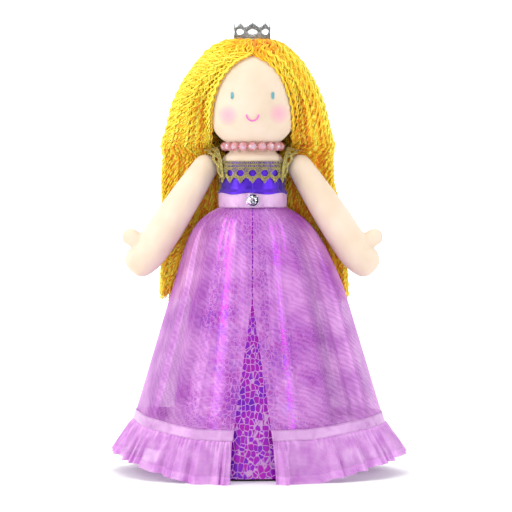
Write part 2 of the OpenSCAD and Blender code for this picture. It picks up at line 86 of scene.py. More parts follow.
# The head's centre lies HEAD_TOP below its crown and HEAD_LOW above its chin.
HEAD_TOP = 31.6
HEAD_LOW = 35.5
HEAD_R = box_mm("head_skin")[1][0]
HEAD_Z = box_mm("head_skin")[1][2] - HEAD_TOP
crown_low, crown_high = box_mm("crown_lace")
CROWN_LOW, CROWN_H, CROWN_R = crown_low[2], crown_high[2] - crown_low[2], crown_high[0]
HAIR_END_Z = box_mm("hair_back_fall")[0][2]
CUT_Z = box_mm("hair_back_fall")[1][2] + 0.4
SHOULDER = joint_place("left_arm_raise")
HIP = joint_place("left_leg_swing")
CHEST_R = TRIM_R - 2.1
WAIST_R = CHEST_R - 0.6
UNDER_TOP_R = WAIST_R + 0.8
OVER_TOP_R = UNDER_TOP_R + 0.7
HEM_Z = 28
HEM_RISE = 6.6
SKIRT_TOP = BELT_TOP - 0.4
UNDER_HEM_Z = 1.4


# ---------- mesh helpers ----------

def unit(vectors):
    """Vectors scaled to length 1 along the last axis."""
    return vectors / maximum(np.linalg.norm(vectors, axis=-1, keepdims=True), 1e-9)


def smoothstep(x):
    x = clip(x, 0, 1)
    return x * x * (3 - 2 * x)


def pairs(a, b):
    """Pairs from two sets of values that stretch to one shape."""
    return stack(np.broadcast_arrays(a, b), -1)


def xyz(x, y, z):
    """Points from coordinates that stretch to one shape."""
    return stack(np.broadcast_arrays(x, y, z), -1)


def polar(r, angle, z):
    """Points at radius r and height z, at an angle from the doll's front."""
    return xyz(r * sin(angle), -r * cos(angle), z)


def make_piece(name, points, faces, material, uv=None, layer="OFBake", smooth=True, **attributes):
    """Mesh object from points in millimetres and a list of face arrays of any width."""
    points = np.asarray(points, float).reshape(-1, 3) * MM
    faces = [np.asarray(f, np.int32) for f in faces]
    widths = concatenate([np.full(len(f), f.shape[1]) for f in faces])
    corners = concatenate([f.ravel() for f in faces])
    mesh = bpy.data.meshes.new(name)
    mesh.vertices.add(len(points))
    mesh.vertices.foreach_set("co", points.ravel())
    mesh.loops.add(len(corners))
    mesh.loops.foreach_set("vertex_index", corners)
    mesh.polygons.add(len(widths))
    mesh.polygons.foreach_set("loop_start", (np.cumsum(widths) - widths).astype(np.int32))
    mesh.update(calc_edges=True)
    if uv is not None:
        uv_layer = mesh.uv_layers.new(name=layer)
        uv_layer.data.foreach_set("uv", np.asarray(uv, np.float32).ravel())
    for label, values in attributes.items():
        data = mesh.attributes.new(label, "FLOAT", "POINT")
        data.data.foreach_set("value", np.asarray(values, np.float32).ravel())
    mesh.polygons.foreach_set("use_smooth", np.full(len(widths), smooth))
    mesh.materials.append(material)
    mesh.validate()
    piece = bpy.data.objects.new(name, mesh)
    bpy.context.scene.collection.objects.link(piece)
    return piece


def grid_faces(rows, cols, wrap=False):
    """Quads of a grid of points, row by row; wrap joins the last column to the first."""
    r = arange(rows - 1)[:, None]
    c = arange(cols if wrap else cols - 1)[None, :]
    n = (c + 1) % cols
    return stack([r * cols + c, r * cols + n, (r + 1) * cols + n, (r + 1) * cols + c], -1).reshape(-1, 4)


def sheet_faces(rows, cols):
    """Quads of a sheet whose rows go downward, turned to face outward."""
    return grid_faces(rows, cols)[:, ::-1]


def sheet_uvs(rows, cols, width, height):
    """Per-corner UVs of sheet_faces: u along a row from 0 to width, v from height down to 0."""
    c, r = np.meshgrid(arange(cols - 1), arange(rows - 1))
    u = stack([c, c + 1, c + 1, c], -1) / (cols - 1) * width
    v = height - stack([r + 1, r + 1, r, r], -1) / (rows - 1) * height
    return pairs(u, v).reshape(-1, 2)


def shell(grid, thickness, outward=True):
    """Closed shell round an open grid; outward is for rows that go downward."""
    rows, cols = grid.shape[:2]
    back = grid - unit(np.cross(np.gradient(grid, axis=0), np.gradient(grid, axis=1))) * thickness
    front = grid_faces(rows, cols)
    count = rows * cols
    rim = concatenate([arange(cols), arange(1, rows) * cols + cols - 1,
                       count - 2 - arange(cols - 1), (rows - 2 - arange(rows - 2)) * cols])
    after = np.roll(rim, -1)
    edge = stack([after, rim, rim + count, after + count], -1)
    faces = concatenate([front, front[:, ::-1] + count, edge])
    points = concatenate([grid.reshape(-1, 3), back.reshape(-1, 3)])
    return points, [faces[:, ::-1] if outward else faces]


def tubes(paths, radius, sides, reference):
    """Tubes along paths (S, N, 3): points, faces with end caps, and UVs with one column a tube."""
    count, steps = paths.shape[:2]
    tangent = unit(np.gradient(paths, axis=1))
    normal = unit(reference - np.sum(reference * tangent, -1, keepdims=True) * tangent)
    side = np.cross(tangent, normal)
    angle = TAU * arange(sides)[:, None] / sides
    ring = cos(angle) * normal[:, :, None, :] + sin(angle) * side[:, :, None, :]
    radius = np.broadcast_to(radius, (count, steps))
    points = paths[:, :, None, :] + radius[:, :, None, None] * ring
    s = arange(count)[:, None, None]
    i = arange(steps - 1)[None, :, None]
    k = arange(sides)[None, None, :]
    n = (k + 1) % sides
    base = (s * steps + i) * sides
    walls = stack([base + k, base + n, base + sides + n, base + sides + k], -1).reshape(-1, 4)
    first = arange(count)[:, None] * steps * sides
    start = first + arange(sides)[::-1]
    stop = first + (steps - 1) * sides + arange(sides)
    corners = [pairs((s + 0.05 + 0.9 * (k + a) / sides) / count, (i + b) / steps)
               for a, b in ((0, 0), (1, 0), (1, 1), (0, 1))]
    cap_uv = pairs(np.repeat((arange(count) + 0.5) / count, sides), 0)
    uv = concatenate([stack(corners, -2).reshape(-1, 2), cap_uv, cap_uv])
    return points.reshape(-1, 3), [walls, start, stop], uv


def even_curve(points, count):
    """Catmull-Rom curve through the points, resampled at count even steps."""
    p = np.asarray(points, float)
    ends = np.vstack([2 * p[0] - p[1], p, 2 * p[-1] - p[-2]])
    t = linspace(0, 1, 10, endpoint=False)[:, None, None]
    a, b, c, d = (ends[i:i + len(p) - 1][None] for i in range(4))
    square, cube = 2 * a - 5 * b + 4 * c - d, 3 * b - a - 3 * c + d
    fine = 0.5 * (2 * b + (c - a) * t + square * t ** 2 + cube * t ** 3)
    fine = np.vstack([fine.transpose(1, 0, 2).reshape(-1, p.shape[1]), p[-1:]])
    run = concatenate([[0], np.cumsum(np.linalg.norm(np.diff(fine, axis=0), axis=1))])
    at = linspace(0, run[-1], count)
    return stack([np.interp(at, run, axis) for axis in fine.T], -1)


def lathe(profile, segments):
    """Points and faces of a closed body of revolution from a profile of radius and height."""
    profile = np.asarray(profile, float)
    points = polar(profile[:, :1], TAU * arange(segments) / segments, profile[:, 1:])
    walls = grid_faces(len(profile), segments, wrap=True)[:, ::-1]
    low = arange(segments)[None, ::-1]
    high = (len(profile) - 1) * segments + arange(segments)[None, :]
    return points.reshape(-1, 3), [walls, low, high]


def join_meshes(parts):
    """Points and faces of several meshes as one."""
    points, faces, shift = [], [], 0
    for part_points, part_faces in parts:
        points.append(np.asarray(part_points).reshape(-1, 3))
        faces += [np.asarray(f) + shift for f in part_faces]
        shift += len(points[-1])
    return concatenate(points), faces


def join_tubes(parts):
    """Points, faces and UVs of several sets of tubes as one; each set gets its own strip of UV space."""
    points, faces = join_meshes([(p, f) for p, f, _ in parts])
    uv = concatenate([u * [1 / len(parts), 1] + [i / len(parts), 0] for i, (_, _, u) in enumerate(parts)])
    return points, faces, uv


def place(piece, body, slot, *nodes):
    """Rides the piece on a body and hides the CAD nodes that it stands for; its slot argument is not used.
    """
    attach(piece, body)
    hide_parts(*nodes)
    return piece


def side_name(side):
    return "left" if side > 0 else "right"


# ---------- material helpers ----------

# A wave texture's scale times the period of its bands
BANDS_PER_SCALE = 0.314159


def srgb(*colour):
    """Linear colour from 0-255 display values."""
    shares = [v / 255 for v in colour]
    return (*[v / 12.92 if v <= 0.04045 else ((v + 0.055) / 1.055) ** 2.4 for v in shares], 1.0)


class Surface:
    """A Principled material and the nodes that feed it."""

    def __init__(self, name, **settings):
        self.material = bpy.data.materials.new(name)
        self.material.use_nodes = True
        self.tree = self.material.node_tree
        self.shader = self.tree.nodes["Principled BSDF"]
        for key, value in settings.items():
            self.shader.inputs[key.replace("_", " ")].default_value = value
        self.place = self.node("ShaderNodeTexCoord").outputs["Object"]

    def node(self, kind, inputs=None, **options):
        made = self.tree.nodes.new(kind)
        for key, value in options.items():
            setattr(made, key, value)
        for key, value in (inputs or {}).items():
            if isinstance(value, bpy.types.NodeSocket):
                self.tree.links.new(value, made.inputs[key])
            else:
                made.inputs[key].default_value = value
        return made

    def math(self, operation, a, b=0.0, clamp=False):
        return self.node("ShaderNodeMath", {0: a, 1: b}, operation=operation, use_clamp=clamp).outputs[0]

    def total(self, *terms, clamp=False):
        """Sum of (value, weight) terms."""
        parts = [value if weight == 1 else self.math("MULTIPLY", value, weight) for value, weight in terms]
        result = parts[0]
        for part in parts[1:]:
            result = self.math("ADD", result, part, clamp and part is parts[-1])
        return result

    def noise(self, size, detail=3.0, distortion=0.0):
        """Noise whose lumps are about size millimetres across."""
        made = self.node("ShaderNodeTexNoise", {"Vector": self.place, "Scale": 1 / (size * MM),
                                                "Detail": detail, "Distortion": distortion})
        return made.outputs["Fac"]

    def bands(self, period, axis, distortion, vector=None):
        """Sine bands with a period in millimetres across an axis."""
        scale = BANDS_PER_SCALE / (period * MM)
        inputs = {"Vector": vector or self.place, "Scale": scale, "Distortion": distortion, "Detail": 1.0}
        return self.node("ShaderNodeTexWave", inputs, bands_direction=axis).outputs["Fac"]

    def ramp(self, value, *stops):
        """Ramp of (position, display colour) stops; a plain number stands for a linear grey."""
        made = self.node("ShaderNodeValToRGB", {"Fac": value})
        elements = made.color_ramp.elements
        while len(elements) < len(stops):
            elements.new(0.5)
        for element, (position, colour) in zip(elements, stops):
            element.position = position
            element.color = srgb(*colour) if isinstance(colour, tuple) else (colour, colour, colour, 1)
        return made.outputs["Color"]

    def mix(self, amount, a, b):
        return self.node("ShaderNodeMix", {0: amount, 6: a, 7: b}, data_type="RGBA").outputs[2]

    def uv(self, name):
        return self.node("ShaderNodeUVMap", uv_map=name).outputs["UV"]

    def scaled(self, vector, x, y):
        return self.node("ShaderNodeMapping", {"Vector": vector, "Scale": (x, y, 1.0)}).outputs["Vector"]

    def attribute(self, name):
        return self.node("ShaderNodeAttribute", attribute_name=name).outputs["Fac"]

    def set(self, socket, value):
        self.tree.links.new(value, self.shader.inputs[socket])

    def bump(self, height, strength, depth):
        """Bump with a depth in millimetres."""
        made = self.node("ShaderNodeBump", {"Height": height, "Strength": strength, "Distance": depth * MM})
        self.set("Normal", made.outputs["Normal"])


# ---------- camera, lights and floor ----------

CAMERA_AT = (2.3, -1500, 210)
CAMERA_AIM = (2.3, 0, 145)
DOLL_MIDDLE = (0, 0, 150)
# Name, place, aim, width, height, watts and colour of each area light
LIGHTS = (("key", (-870, -480, 560), DOLL_MIDDLE, 380, 700, 5.8, (1, 0.985, 0.96)),
          ("fill", (880, -480, 440), DOLL_MIDDLE, 280, 700, 3.2, (0.97, 0.98, 1)),
          ("backdrop_wash", (0, 420, 1000), (0, 1600, 250), 1600, 300, 16.0, (1, 1, 1)),
          ("top", (-60, -100, 1100), DOLL_MIDDLE, 700, 700, 3.4, (1, 1, 1)))


def aimed(name, data, at, aim):
    """Camera or light at one point that looks at another."""
    thing = bpy.data.objects.new(name, data)
    thing.location = Vector(at) * MM
    thing.rotation_euler = (Vector(aim) - Vector(at)).to_track_quat("-Z", "Y").to_euler()
    bpy.context.scene.collection.objects.link(thing)
    return thing


def add_camera():
    data = bpy.data.cameras.new("camera")
    data.lens = 157.4
    data.sensor_width = 36
    bpy.context.scene.camera = aimed("camera", data, CAMERA_AT, CAMERA_AIM)
    bpy.context.scene.view_settings.view_transform = "Standard"


def add_studio():
    for name, at, aim, width, height, watts, colour in LIGHTS:
        data = bpy.data.lights.new(name, "AREA")
        data.shape = "RECTANGLE"
        data.size = width * MM
        data.size_y = height * MM
        data.energy = watts
        data.color = colour
        aimed(name, data, at, aim)
    world = bpy.data.worlds.new("studio")
    world.use_nodes = True
    background = world.node_tree.nodes["Background"]
    background.inputs["Color"].default_value = (0.97, 0.98, 1, 1)
    background.inputs["Strength"].default_value = 0.7
    bpy.context.scene.world = world


def add_floor():
    """Pale floor that curves up into a backdrop far behind the doll."""
    s = Surface("studio_paper", Roughness=0.8)
    grain = s.noise(2.0, 4)
    s.set("Base Color", s.ramp(grain, (0.3, (249, 249, 250)), (0.7, (253, 253, 253))))
    s.bump(grain, 0.1, 0.05)
    bend = 500
    depth = 1100
    turn = linspace(0, pi / 2, 12)
    side = concatenate([[[-2500, 0]], pairs(depth + bend * sin(turn), bend - bend * cos(turn)),
                        [[depth + bend, 2600]]])
    grid = xyz(linspace(-2600, 2600, 9), side[:, :1], side[:, 1:])
    floor = make_piece("studio_floor", grid, [grid_faces(len(side), 9)], s.material)


# ---------- skin and filling ----------

CHEEKS = ((-16.2, 238.7), (17.4, 239.8))
CHEEK_R = 7.4
ARM_LEN = 86
ARM_ROOT_R = 8.6
ARM_R = 11.8
ARM_OUT = radians(33)
ARM_SWELL = ARM_LEN * 0.66
THUMB_R = 5.8
LEG_LEN = 130
LEG_R = 10
THIGH_R = 9.5
THIGH_LEN = LEG_LEN * 0.35
ANKLE_R = 8.4
FOOT_R = 8.2


def skin_surface(name, blush=False):
    """Brushed cream jersey with fine ribs, a soft nap and a sewn seam in the plane y = 0."""
    s = Surface(name, Roughness=0.86, Sheen_Weight=0.35, Sheen_Roughness=0.5, Specular_IOR_Level=0.25)
    tone = s.ramp(s.noise(16, 2), (0.3, (234, 212, 186)), (0.7, (242, 223, 202)))
    x, y, z = s.node("ShaderNodeSeparateXYZ", {"Vector": s.place}).outputs
    if blush:
        flat = s.node("ShaderNodeCombineXYZ", {"X": x, "Z": z}).outputs[0]
        front = s.math("LESS_THAN", y, 0.0)
        for cheek_x, cheek_z in CHEEKS:
            cheek = (cheek_x * MM, 0, cheek_z * MM)
            gap = s.node("ShaderNodeVectorMath", {0: flat, 1: cheek}, operation="DISTANCE")
            soft = s.math("MULTIPLY", gap.outputs["Value"], 1 / (CHEEK_R * MM))
            patch = s.ramp(soft, (0.1, 0.6), (0.5, 0.4), (1.0, 0.0))
            tone = s.mix(s.math("MULTIPLY", patch, front), tone, srgb(246, 150, 196))
    knit = s.math("ADD", s.bands(0.55, "X", 0.6), s.bands(0.45, "Z", 0.9))
    tone = s.mix(s.ramp(knit, (0.2, 0.10), (1.4, 0.0)), tone, srgb(222, 190, 156))
    seam = s.ramp(s.math("ABSOLUTE", y), (0.0, 1.0), (0.0007, 0.0))
    s.set("Base Color", s.mix(s.math("MULTIPLY", seam, 0.35), tone, srgb(196, 152, 118)))
    s.bump(s.total((knit, 1), (s.noise(0.5, 3), 1.6), (seam, -3.0)), 0.5, 0.12)
    return s.material


def head_radius(z, off=0.0):
    """Radius of the head at a height, with its surface moved outward by off."""
    up = z >= HEAD_Z
    power = where(up, 2.1, 2.8)
    t = np.minimum(1, np.abs(z - HEAD_Z) / (where(up, HEAD_TOP, HEAD_LOW) + off))
    return (HEAD_R + off) * maximum(0, 1 - t ** power) ** (1 / power)


def face_point(x, z, off):
    """Point on the front of the head."""
    return xyz(x, -sqrt(maximum(head_radius(z, off) ** 2 - x ** 2, 0)), z)


def add_head(material):
    """Stuffed head: the crown is a little flatter than a ball and the jaw fuller."""
    heights = HEAD_Z + concatenate([-HEAD_LOW * cos(linspace(0.06, 0.5, 46) * pi),
                                    HEAD_TOP * sin(linspace(0.01, 0.495, 42) * pi)])
    points, faces = lathe(pairs(maximum(head_radius(heights), 2.0), heights), 120)
    x, y, z = points.T[..., None]
    lumps = 0.22 * sin(x * 0.19 + 1.3) * sin(z * 0.17) * cos(y * 0.15)
    head = make_piece("head", points + unit(points - [0, 0, HEAD_Z]) * lumps, faces, material)
    place(head, "head", "cream_jersey", "head_skin", "head_stuffing")


def add_torso(material):
    """Chest, shoulders and neck in one stuffed piece."""
    low = WAIST_Z - 21.5
    outline = [(2, low), (9, low), (WAIST_R - 3, low + 0.8), (WAIST_R - 0.4, low + 6), (WAIST_R, low + 14),
               (WAIST_R, BELT_TOP), (CHEST_R, BELT_TOP + 8), (CHEST_R, NECKLINE_Z - 4),
               (CHEST_R - 0.3, NECKLINE_Z), (CHEST_R - 1.6, NECKLINE_Z + 3.2),
               (NECK_R + 1.3, NECKLACE_Z - BEAD_R - 1.2), (NECK_R - 0.1, NECKLACE_Z - BEAD_R + 1.2),
               (NECK_R - 0.4, NECKLACE_Z), (NECK_R - 0.2, NECK_TOP)]
    points, faces = lathe(even_curve(outline, 90), 96)
    torso = make_piece("torso_and_neck", points, faces, material)
    place(torso, "torso", "cream_jersey", "torso_skin", "torso_stuffing")


def round_stub(radius, start, straight_to, segments):
    """Lathed body with a straight part and a round tip."""
    tip = linspace(0, pi / 2, 9)
    profile = concatenate([[[radius, start]], pairs(radius * cos(tip), straight_to + radius * sin(tip))])
    profile[-1, 0] = 0.1
    return lathe(profile, segments)


def add_limb(part, side, shapes, voxel, smoothing, change, material):
    """One skin over joined shapes: voxel remesh, corrective smooth, then each point goes through change."""
    name = side_name(side) + part
    piece = make_piece(name, *join_meshes(shapes), material)
    remesh = piece.modifiers.new("skin", "REMESH")
    remesh.mode = "VOXEL"
    remesh.voxel_size = voxel * MM
    smooth = piece.modifiers.new("soft", "SMOOTH")
    smooth.factor = 0.6
    smooth.iterations = smoothing
    graph = bpy.context.evaluated_depsgraph_get()
    mesh = bpy.data.meshes.new_from_object(piece.evaluated_get(graph))
    piece.modifiers.clear()
    piece.data = mesh
    mesh.polygons.foreach_set("use_smooth", np.full(len(mesh.polygons), True))
    if not mesh.materials:
        mesh.materials.append(material)
    flat = np.empty(len(mesh.vertices) * 3)
    mesh.vertices.foreach_get("co", flat)
    mesh.vertices.foreach_set("co", (change(flat.reshape(-1, 3) / MM) * MM).ravel())
    mesh.update()
    if side < 0:
        mesh.flip_normals()
    place(piece, name, "cream_jersey", name + "_skin", name + "_stuffing")


def add_arm(side, material):
    """Stuffed arm with a mitten hand; the thumb points outward and the seam runs round the outline."""
    root = linspace(0.04, 1.5, 10)
    upper = linspace(0, 1, 22)
    hand = linspace(0.06, 1.55, 20)
    radius = concatenate([ARM_ROOT_R * sin(root), ARM_ROOT_R + (ARM_R - ARM_ROOT_R) * sin(pi / 2 * upper),
                          ARM_R * maximum(0, 1 - sin(hand) ** 2.4) ** (1 / 2.4)])
    height = concatenate([ARM_ROOT_R * cos(root), -ARM_SWELL * upper,
                          -ARM_SWELL - (ARM_LEN - ARM_SWELL) * sin(hand)])
    thumb, thumb_faces = round_stub(THUMB_R, -7.5, 4.7, 28)
    thumb = thumb[:, [2, 1, 0]] * [1, 1, -1] + [ARM_R, 0, -ARM_LEN * 0.77]

    def settle(p):
        """Presses creases, the thumb's dent and the seam into the arm, and turns it outward."""
        x, y, along = p[:, 0], p[:, 1], -p[:, 2]
        radial = unit(p * [1, 1, 0]).T
        crease = 0.14 * exp(-((along - ARM_LEN * 0.64) / 3.0) ** 2)
        dent = 0.7 * exp(-(((x - ARM_R) / 3.2) ** 2 + ((along - ARM_LEN * 0.875) / 2.6) ** 2))
        seam = 0.22 * exp(-(y / 0.9) ** 2)
        y = y * (1 - 0.10 * smoothstep((along - ARM_LEN * 0.5) / 30))
        x = x + 3.4 * smoothstep(x / 7) * smoothstep((along - ARM_LEN * 0.81) / 6)
        waves = 0.14 * sin(along * 0.35 + x * 0.5) * sin(y * 0.6 + 0.7)
        x, y, z = stack([x, y, -along]) - radial * (crease + seam + dent - waves)
        return xyz(side * (x * cos(ARM_OUT) - z * sin(ARM_OUT) + SHOULDER[0]), y,
                   x * sin(ARM_OUT) + z * cos(ARM_OUT) + SHOULDER[2])

    arm = lathe(pairs(radius, height)[::-1], 48)
    add_limb("_arm", side, [arm, (thumb, thumb_faces)], 0.85, 9, settle, material)


def add_leg(side, material):
    """Stuffed leg with a short foot, hidden by the gown."""
    ankle = LEG_LEN - FOOT_R
    root = linspace(0.05, 1.5, 8)
    thigh = linspace(0, 1, 9)
    shin = linspace(0.1, 1, 12)
    heel = linspace(0.2, 1.54, 7)
    radius = concatenate([THIGH_R * sin(root), THIGH_R + (LEG_R - THIGH_R) * sin(pi / 2 * thigh),
                          LEG_R + (ANKLE_R - LEG_R) * shin, ANKLE_R * cos(heel)])
    height = concatenate([THIGH_R * cos(root), -THIGH_LEN * thigh, -THIGH_LEN - (ankle - THIGH_LEN) * shin,
                          -ankle - (ANKLE_R - 0.5) * sin(heel)])
    foot, foot_faces = round_stub(FOOT_R, 2, 14, 32)
    foot = foot[:, [0, 2, 1]] * [1, -1, 1] - [0, 0, ankle]
    leg = lathe(pairs(radius, height)[::-1], 40)
    add_limb("_leg", side, [leg, (foot, foot_faces)], 1.0, 8, lambda p: (p + HIP) * [side, 1, 1], material)


# ---------- face threads ----------

EYE_X = 13.5
EYE_H = 4.5
EYE_Z = HEAD_Z - 2
SMILE_R = 4.0
SMILE_Z = HEAD_Z - 14.6
SMILE_STITCHES = 7


def thread_surface(name, dark, light, rough=0.55):
    """Twisted thread: fine slanting plies with colour that varies along it."""
    s = Surface(name, Roughness=rough, Sheen_Weight=0.2)
    ply = s.bands(0.42, "DIAGONAL", 0.4)
    s.set("Base Color", s.ramp(s.total((ply, 0.5), (s.noise(1.6, 3), 0.6)), (0.15, dark), (0.75, light)))
    s.bump(ply, 0.5, 0.1)
    return s.material


def head_stitches(name, paths, radius, sides, slot, node, material):
    """Stitches that lie on the head."""
    paths = array(paths)
    points, faces, uv = tubes(paths, radius, sides, unit(paths - [0, 0, HEAD_Z]))
    place(make_piece(name, points, faces, material, uv), "head", slot, node)


def add_face(teal, pink):
    """Eyes of upright satin stitches and a mouth of overlapping backstitches."""
    run = linspace(-1, 1, 11)
    for name, side in (("left_eye", 1), ("right_eye", -1)):
        paths = [face_point(side * EYE_X + shift, EYE_Z + EYE_H / 2 * sqrt(1 - (shift / 1.05) ** 2) * run,
                            0.12 + 0.34 * (1 - run ** 4)) for shift in linspace(-0.64, 0.64, 5)]
        head_stitches(name + "_stitches", paths, 0.27, 6, "teal_thread", name, teal)
    run = linspace(-0.06, 1.06, 9)
    lift = 0.12 + 0.3 * sin(pi * clip(run, 0, 1)) ** 0.5
    angles = [pi * (1 + (k + run) / SMILE_STITCHES) for k in range(SMILE_STITCHES)]
    paths = [face_point(SMILE_R * cos(a), SMILE_Z + SMILE_R * sin(a), lift) for a in angles]
    taper = 0.5 * sqrt(clip(1 - (linspace(-1, 1, 9) * 0.93) ** 6, 0.05, 1))
    head_stitches("mouth_stitches", paths, taper, 8, "pink_thread", "mouth_stitch", pink)


# ---------- lace ----------

LACE_STEP = 0.36
RAIL_R = 0.25
ZIGZAG_R = 0.2
# Neighbouring rails that zigzag threads tie; the holes lie between rails 3 and 4.
TIED_RAILS = ((0, 1), (1, 2), (2, 3), (4, 5), (5, 6))
STRAP_FOOT_R = TRIM_R + 0.2
STRAP_IN = RING_R + BEAD_R + 2
STRAP_W = 8.5
STRAP_H = 9
STRAP_LEN = 58.0
CROWN_POINTS = 8


def lace_threads(rails, pitches, length, place_point):
    """Thread tubes of a strip of lace.

    rails are functions of the distance along the strip that give the distance across it.
    Each pair of TIED_RAILS is tied by two zigzag threads with its own pitch.
    place_point puts (along, across, lift) in space.
    """
    along = linspace(0, length, int(length / LACE_STEP) + 1)
    threads = [(along, rail(along), 0.13 * sin(along * 4.1 + k), RAIL_R) for k, rail in enumerate(rails)]
    for (upper, lower), pitch in zip(TIED_RAILS, pitches):
        count = int(length / pitch * 2)
        turns = linspace(0, length, count + 1)
        at = linspace(0, length, 2 * count + 1)
        for phase in (0, 1):
            across = where((arange(count + 1) + phase) % 2 == 0, rails[upper](turns), rails[lower](turns))
            lift = 0.16 * cos(pi * (arange(2 * count + 1) / 2 + phase))
            threads.append((at, np.interp(at, turns, across), lift, ZIGZAG_R))
    parts = []
    for at, across, lift, width in threads:
        line = place_point(at, across, lift)[None]
        out = unit(place_point(at, across, lift + 1.0) - line)
        parts.append(tubes(line, width * (1 + 0.18 * sin(at * 7.3)), 4, out))
    return parts


def scallop_rails(pitch, solid, hole_top, hole_low, hole_w, edge, depth, shift=0.0):
    """Rails of a scalloped lace with a row of oval holes, from its straight edge to its points."""
    middle = (hole_top + hole_low) / 2
    half = (hole_top - hole_low) / 2 - 0.1

    def near(at):
        return np.abs(((at - shift) / pitch + 0.5) % 1 - 0.5) * pitch

    def hole(at):
        return half * sqrt(maximum(0, 1 - (near(at) / (hole_w / 2)) ** 2)) + 0.35

    def point(at):
        return edge - depth * (1 - clip(near(at) / (pitch / 2), 0, 1)) ** 1.5

    return [lambda at, v=v: v + 0.06 * sin(at * 2.3 + v) for v in solid] + [
        lambda at: middle + hole(at), lambda at: middle - hole(at),
        lambda at: (middle - hole(at) + point(at)) / 2,
        lambda at: point(at) + 0.22 * sin(at * TAU / pitch * 6)]


def lace_surface(name, dark, light, fleck=None):
    """Metallic crochet thread with painted light: a painted highlight on its ply crests and painted shade in
    its twist.
    """
    s = Surface(name, Roughness=0.3, Metallic=0.75, Sheen_Weight=0.1)
    ply = s.bands(0.35, "DIAGONAL", 2.0)
    # Painted highlight and shade: the ramp from dark to light follows the ply bands and a fine noise.
    tone = s.ramp(s.total((ply, 0.45), (s.noise(0.9, 3), 0.65)), (0.2, dark), (0.85, light))
    if fleck:
        spots = s.ramp(s.noise(1.1, 0), (0.52, 0.0), (0.6, 1.0))
        height = s.node("ShaderNodeSeparateXYZ", {"Vector": s.place}).outputs["Z"]
        rows = s.ramp(height, ((CROWN_LOW + 3.6) * MM, 1.0), ((CROWN_LOW + 4.8) * MM, 0.0))
        tone = s.mix(s.math("MULTIPLY", spots, rows), tone, srgb(*fleck))
    s.set("Base Color", tone)
    s.bump(ply, 0.6, 0.12)
    return s.material


def lace_piece(name, parts, body, slot, node, material):
    points, faces, uv = join_tubes(parts)
    return place(make_piece(name, points, faces, material, uv), body, slot, node)


def add_bodice_lace(material):
    radius = TRIM_R - 0.35
    length = TAU * radius

    def on_chest(along, across, lift):
        return polar(radius + lift, along / radius, NECKLINE_Z - 0.2 + across)

    rails = scallop_rails(length / 17, [0.1, -2.0, -4.2], -5.6, -10.0, 5.2, -10.4, 4.0)
    parts = lace_threads(rails, (2.8, 2.8, 2.0, 1.9, 1.7), length, on_chest)
    return lace_piece("bodice_gold_lace", parts, "torso", "gold_lace", "bodice_lace", material)


def strap_point(t, w, lift, side):
    """Point on a shoulder strap: t runs from its front foot to its back foot, w from the neck outward."""
    s = 1 - np.abs(t)
    foot_angle = 56 + 14 * w
    near = foot_angle + (90 - foot_angle) * s * s
    theta = radians(where(t < 0, near, 180 - near))
    bow = pi / 2 * s
    r = STRAP_FOOT_R + (STRAP_IN + w * STRAP_W - STRAP_FOOT_R) * s + lift * cos(bow)
    foot = NECKLINE_Z - 11
    top = NECKLINE_Z + STRAP_H - w * 0.28 * STRAP_W
    return polar(r, theta, foot + (top - foot + lift) * sin(bow)) * [side, 1, 1]


def add_strap(side, material):
    pitch = STRAP_LEN / 7

    def over_shoulder(along, across, lift):
        return strap_point(2 * along / STRAP_LEN - 1, clip(-across, -0.5, 12) / STRAP_W, 0.4 + lift, side)

    name = side_name(side)
    rails = scallop_rails(pitch, [0.0, -1.2, -2.4], -3.3, -6.3, 4.4, -6.7, 2.6, pitch / 2)
    parts = lace_threads(rails, (2.2, 2.2, 1.8, 1.8, 1.6), STRAP_LEN, over_shoulder)
    return lace_piece(name + "_gold_lace_strap", parts, "torso", "gold_lace", name + "_lace_strap", material)


def add_crown(material):
    """Crown of stiffened lace with three picots on each point."""
    radius = CROWN_R - 0.5
    length = TAU * radius
    pitch = length / CROWN_POINTS

    def round_head(along, across, lift):
        angle = along / radius
        r = radius + lift + 0.35 * sin(angle * 3 + 0.6) + 0.25 * (across / CROWN_H) * cos(angle * 8)
        return polar(r, angle, CROWN_LOW + 0.2 - across)

    rails = scallop_rails(pitch, [-0.1, -1.9, -3.7], -4.3, -8.9, 7.2, -9.0, 2.5)
    parts = lace_threads(rails, (2.1, 2.1, 1.7, 1.6, 1.5), length, round_head)
    loop = linspace(0, TAU, 14)
    paths = array([round_head(k * pitch + shift + 0.55 * sin(loop), 0.55 * cos(loop) - up, 0)
                   for k in range(CROWN_POINTS) for shift, up in ((0.0, 11.6), (-1.7, 10.6), (1.7, 10.6))])
    parts.append(tubes(paths, ZIGZAG_R, 4, unit(paths * [1, 1, 0])))
    lace_piece("silver_lace_crown", parts, "head", "silver_lace", "crown_lace", material)


# ---------- bodice, ribbon and jewel ----------

LIP_WAVES = 6
JEWEL_R = 4.0


def satin_surface(name, dark, light, metal):
    """Satin with fine floats across its height and a broad, stretched gloss."""
    s = Surface(name, Roughness=0.3, Metallic=metal, Anisotropic=0.3, Sheen_Weight=0.2, Coat_Weight=0.1,
                Coat_Roughness=0.4)
    floats = s.bands(0.33, "Z", 0.5)
    cloud = s.noise(7, 3, 0.6)
    s.set("Base Color", s.ramp(s.total((cloud, 0.8), (floats, 0.25)), (0.2, dark), (0.8, light)))
    s.set("Roughness", s.ramp(cloud, (0.3, 0.26), (0.7, 0.4)))
    s.bump(s.math("ADD", floats, s.noise(0.3, 1)), 0.35, 0.05)
    return s.material


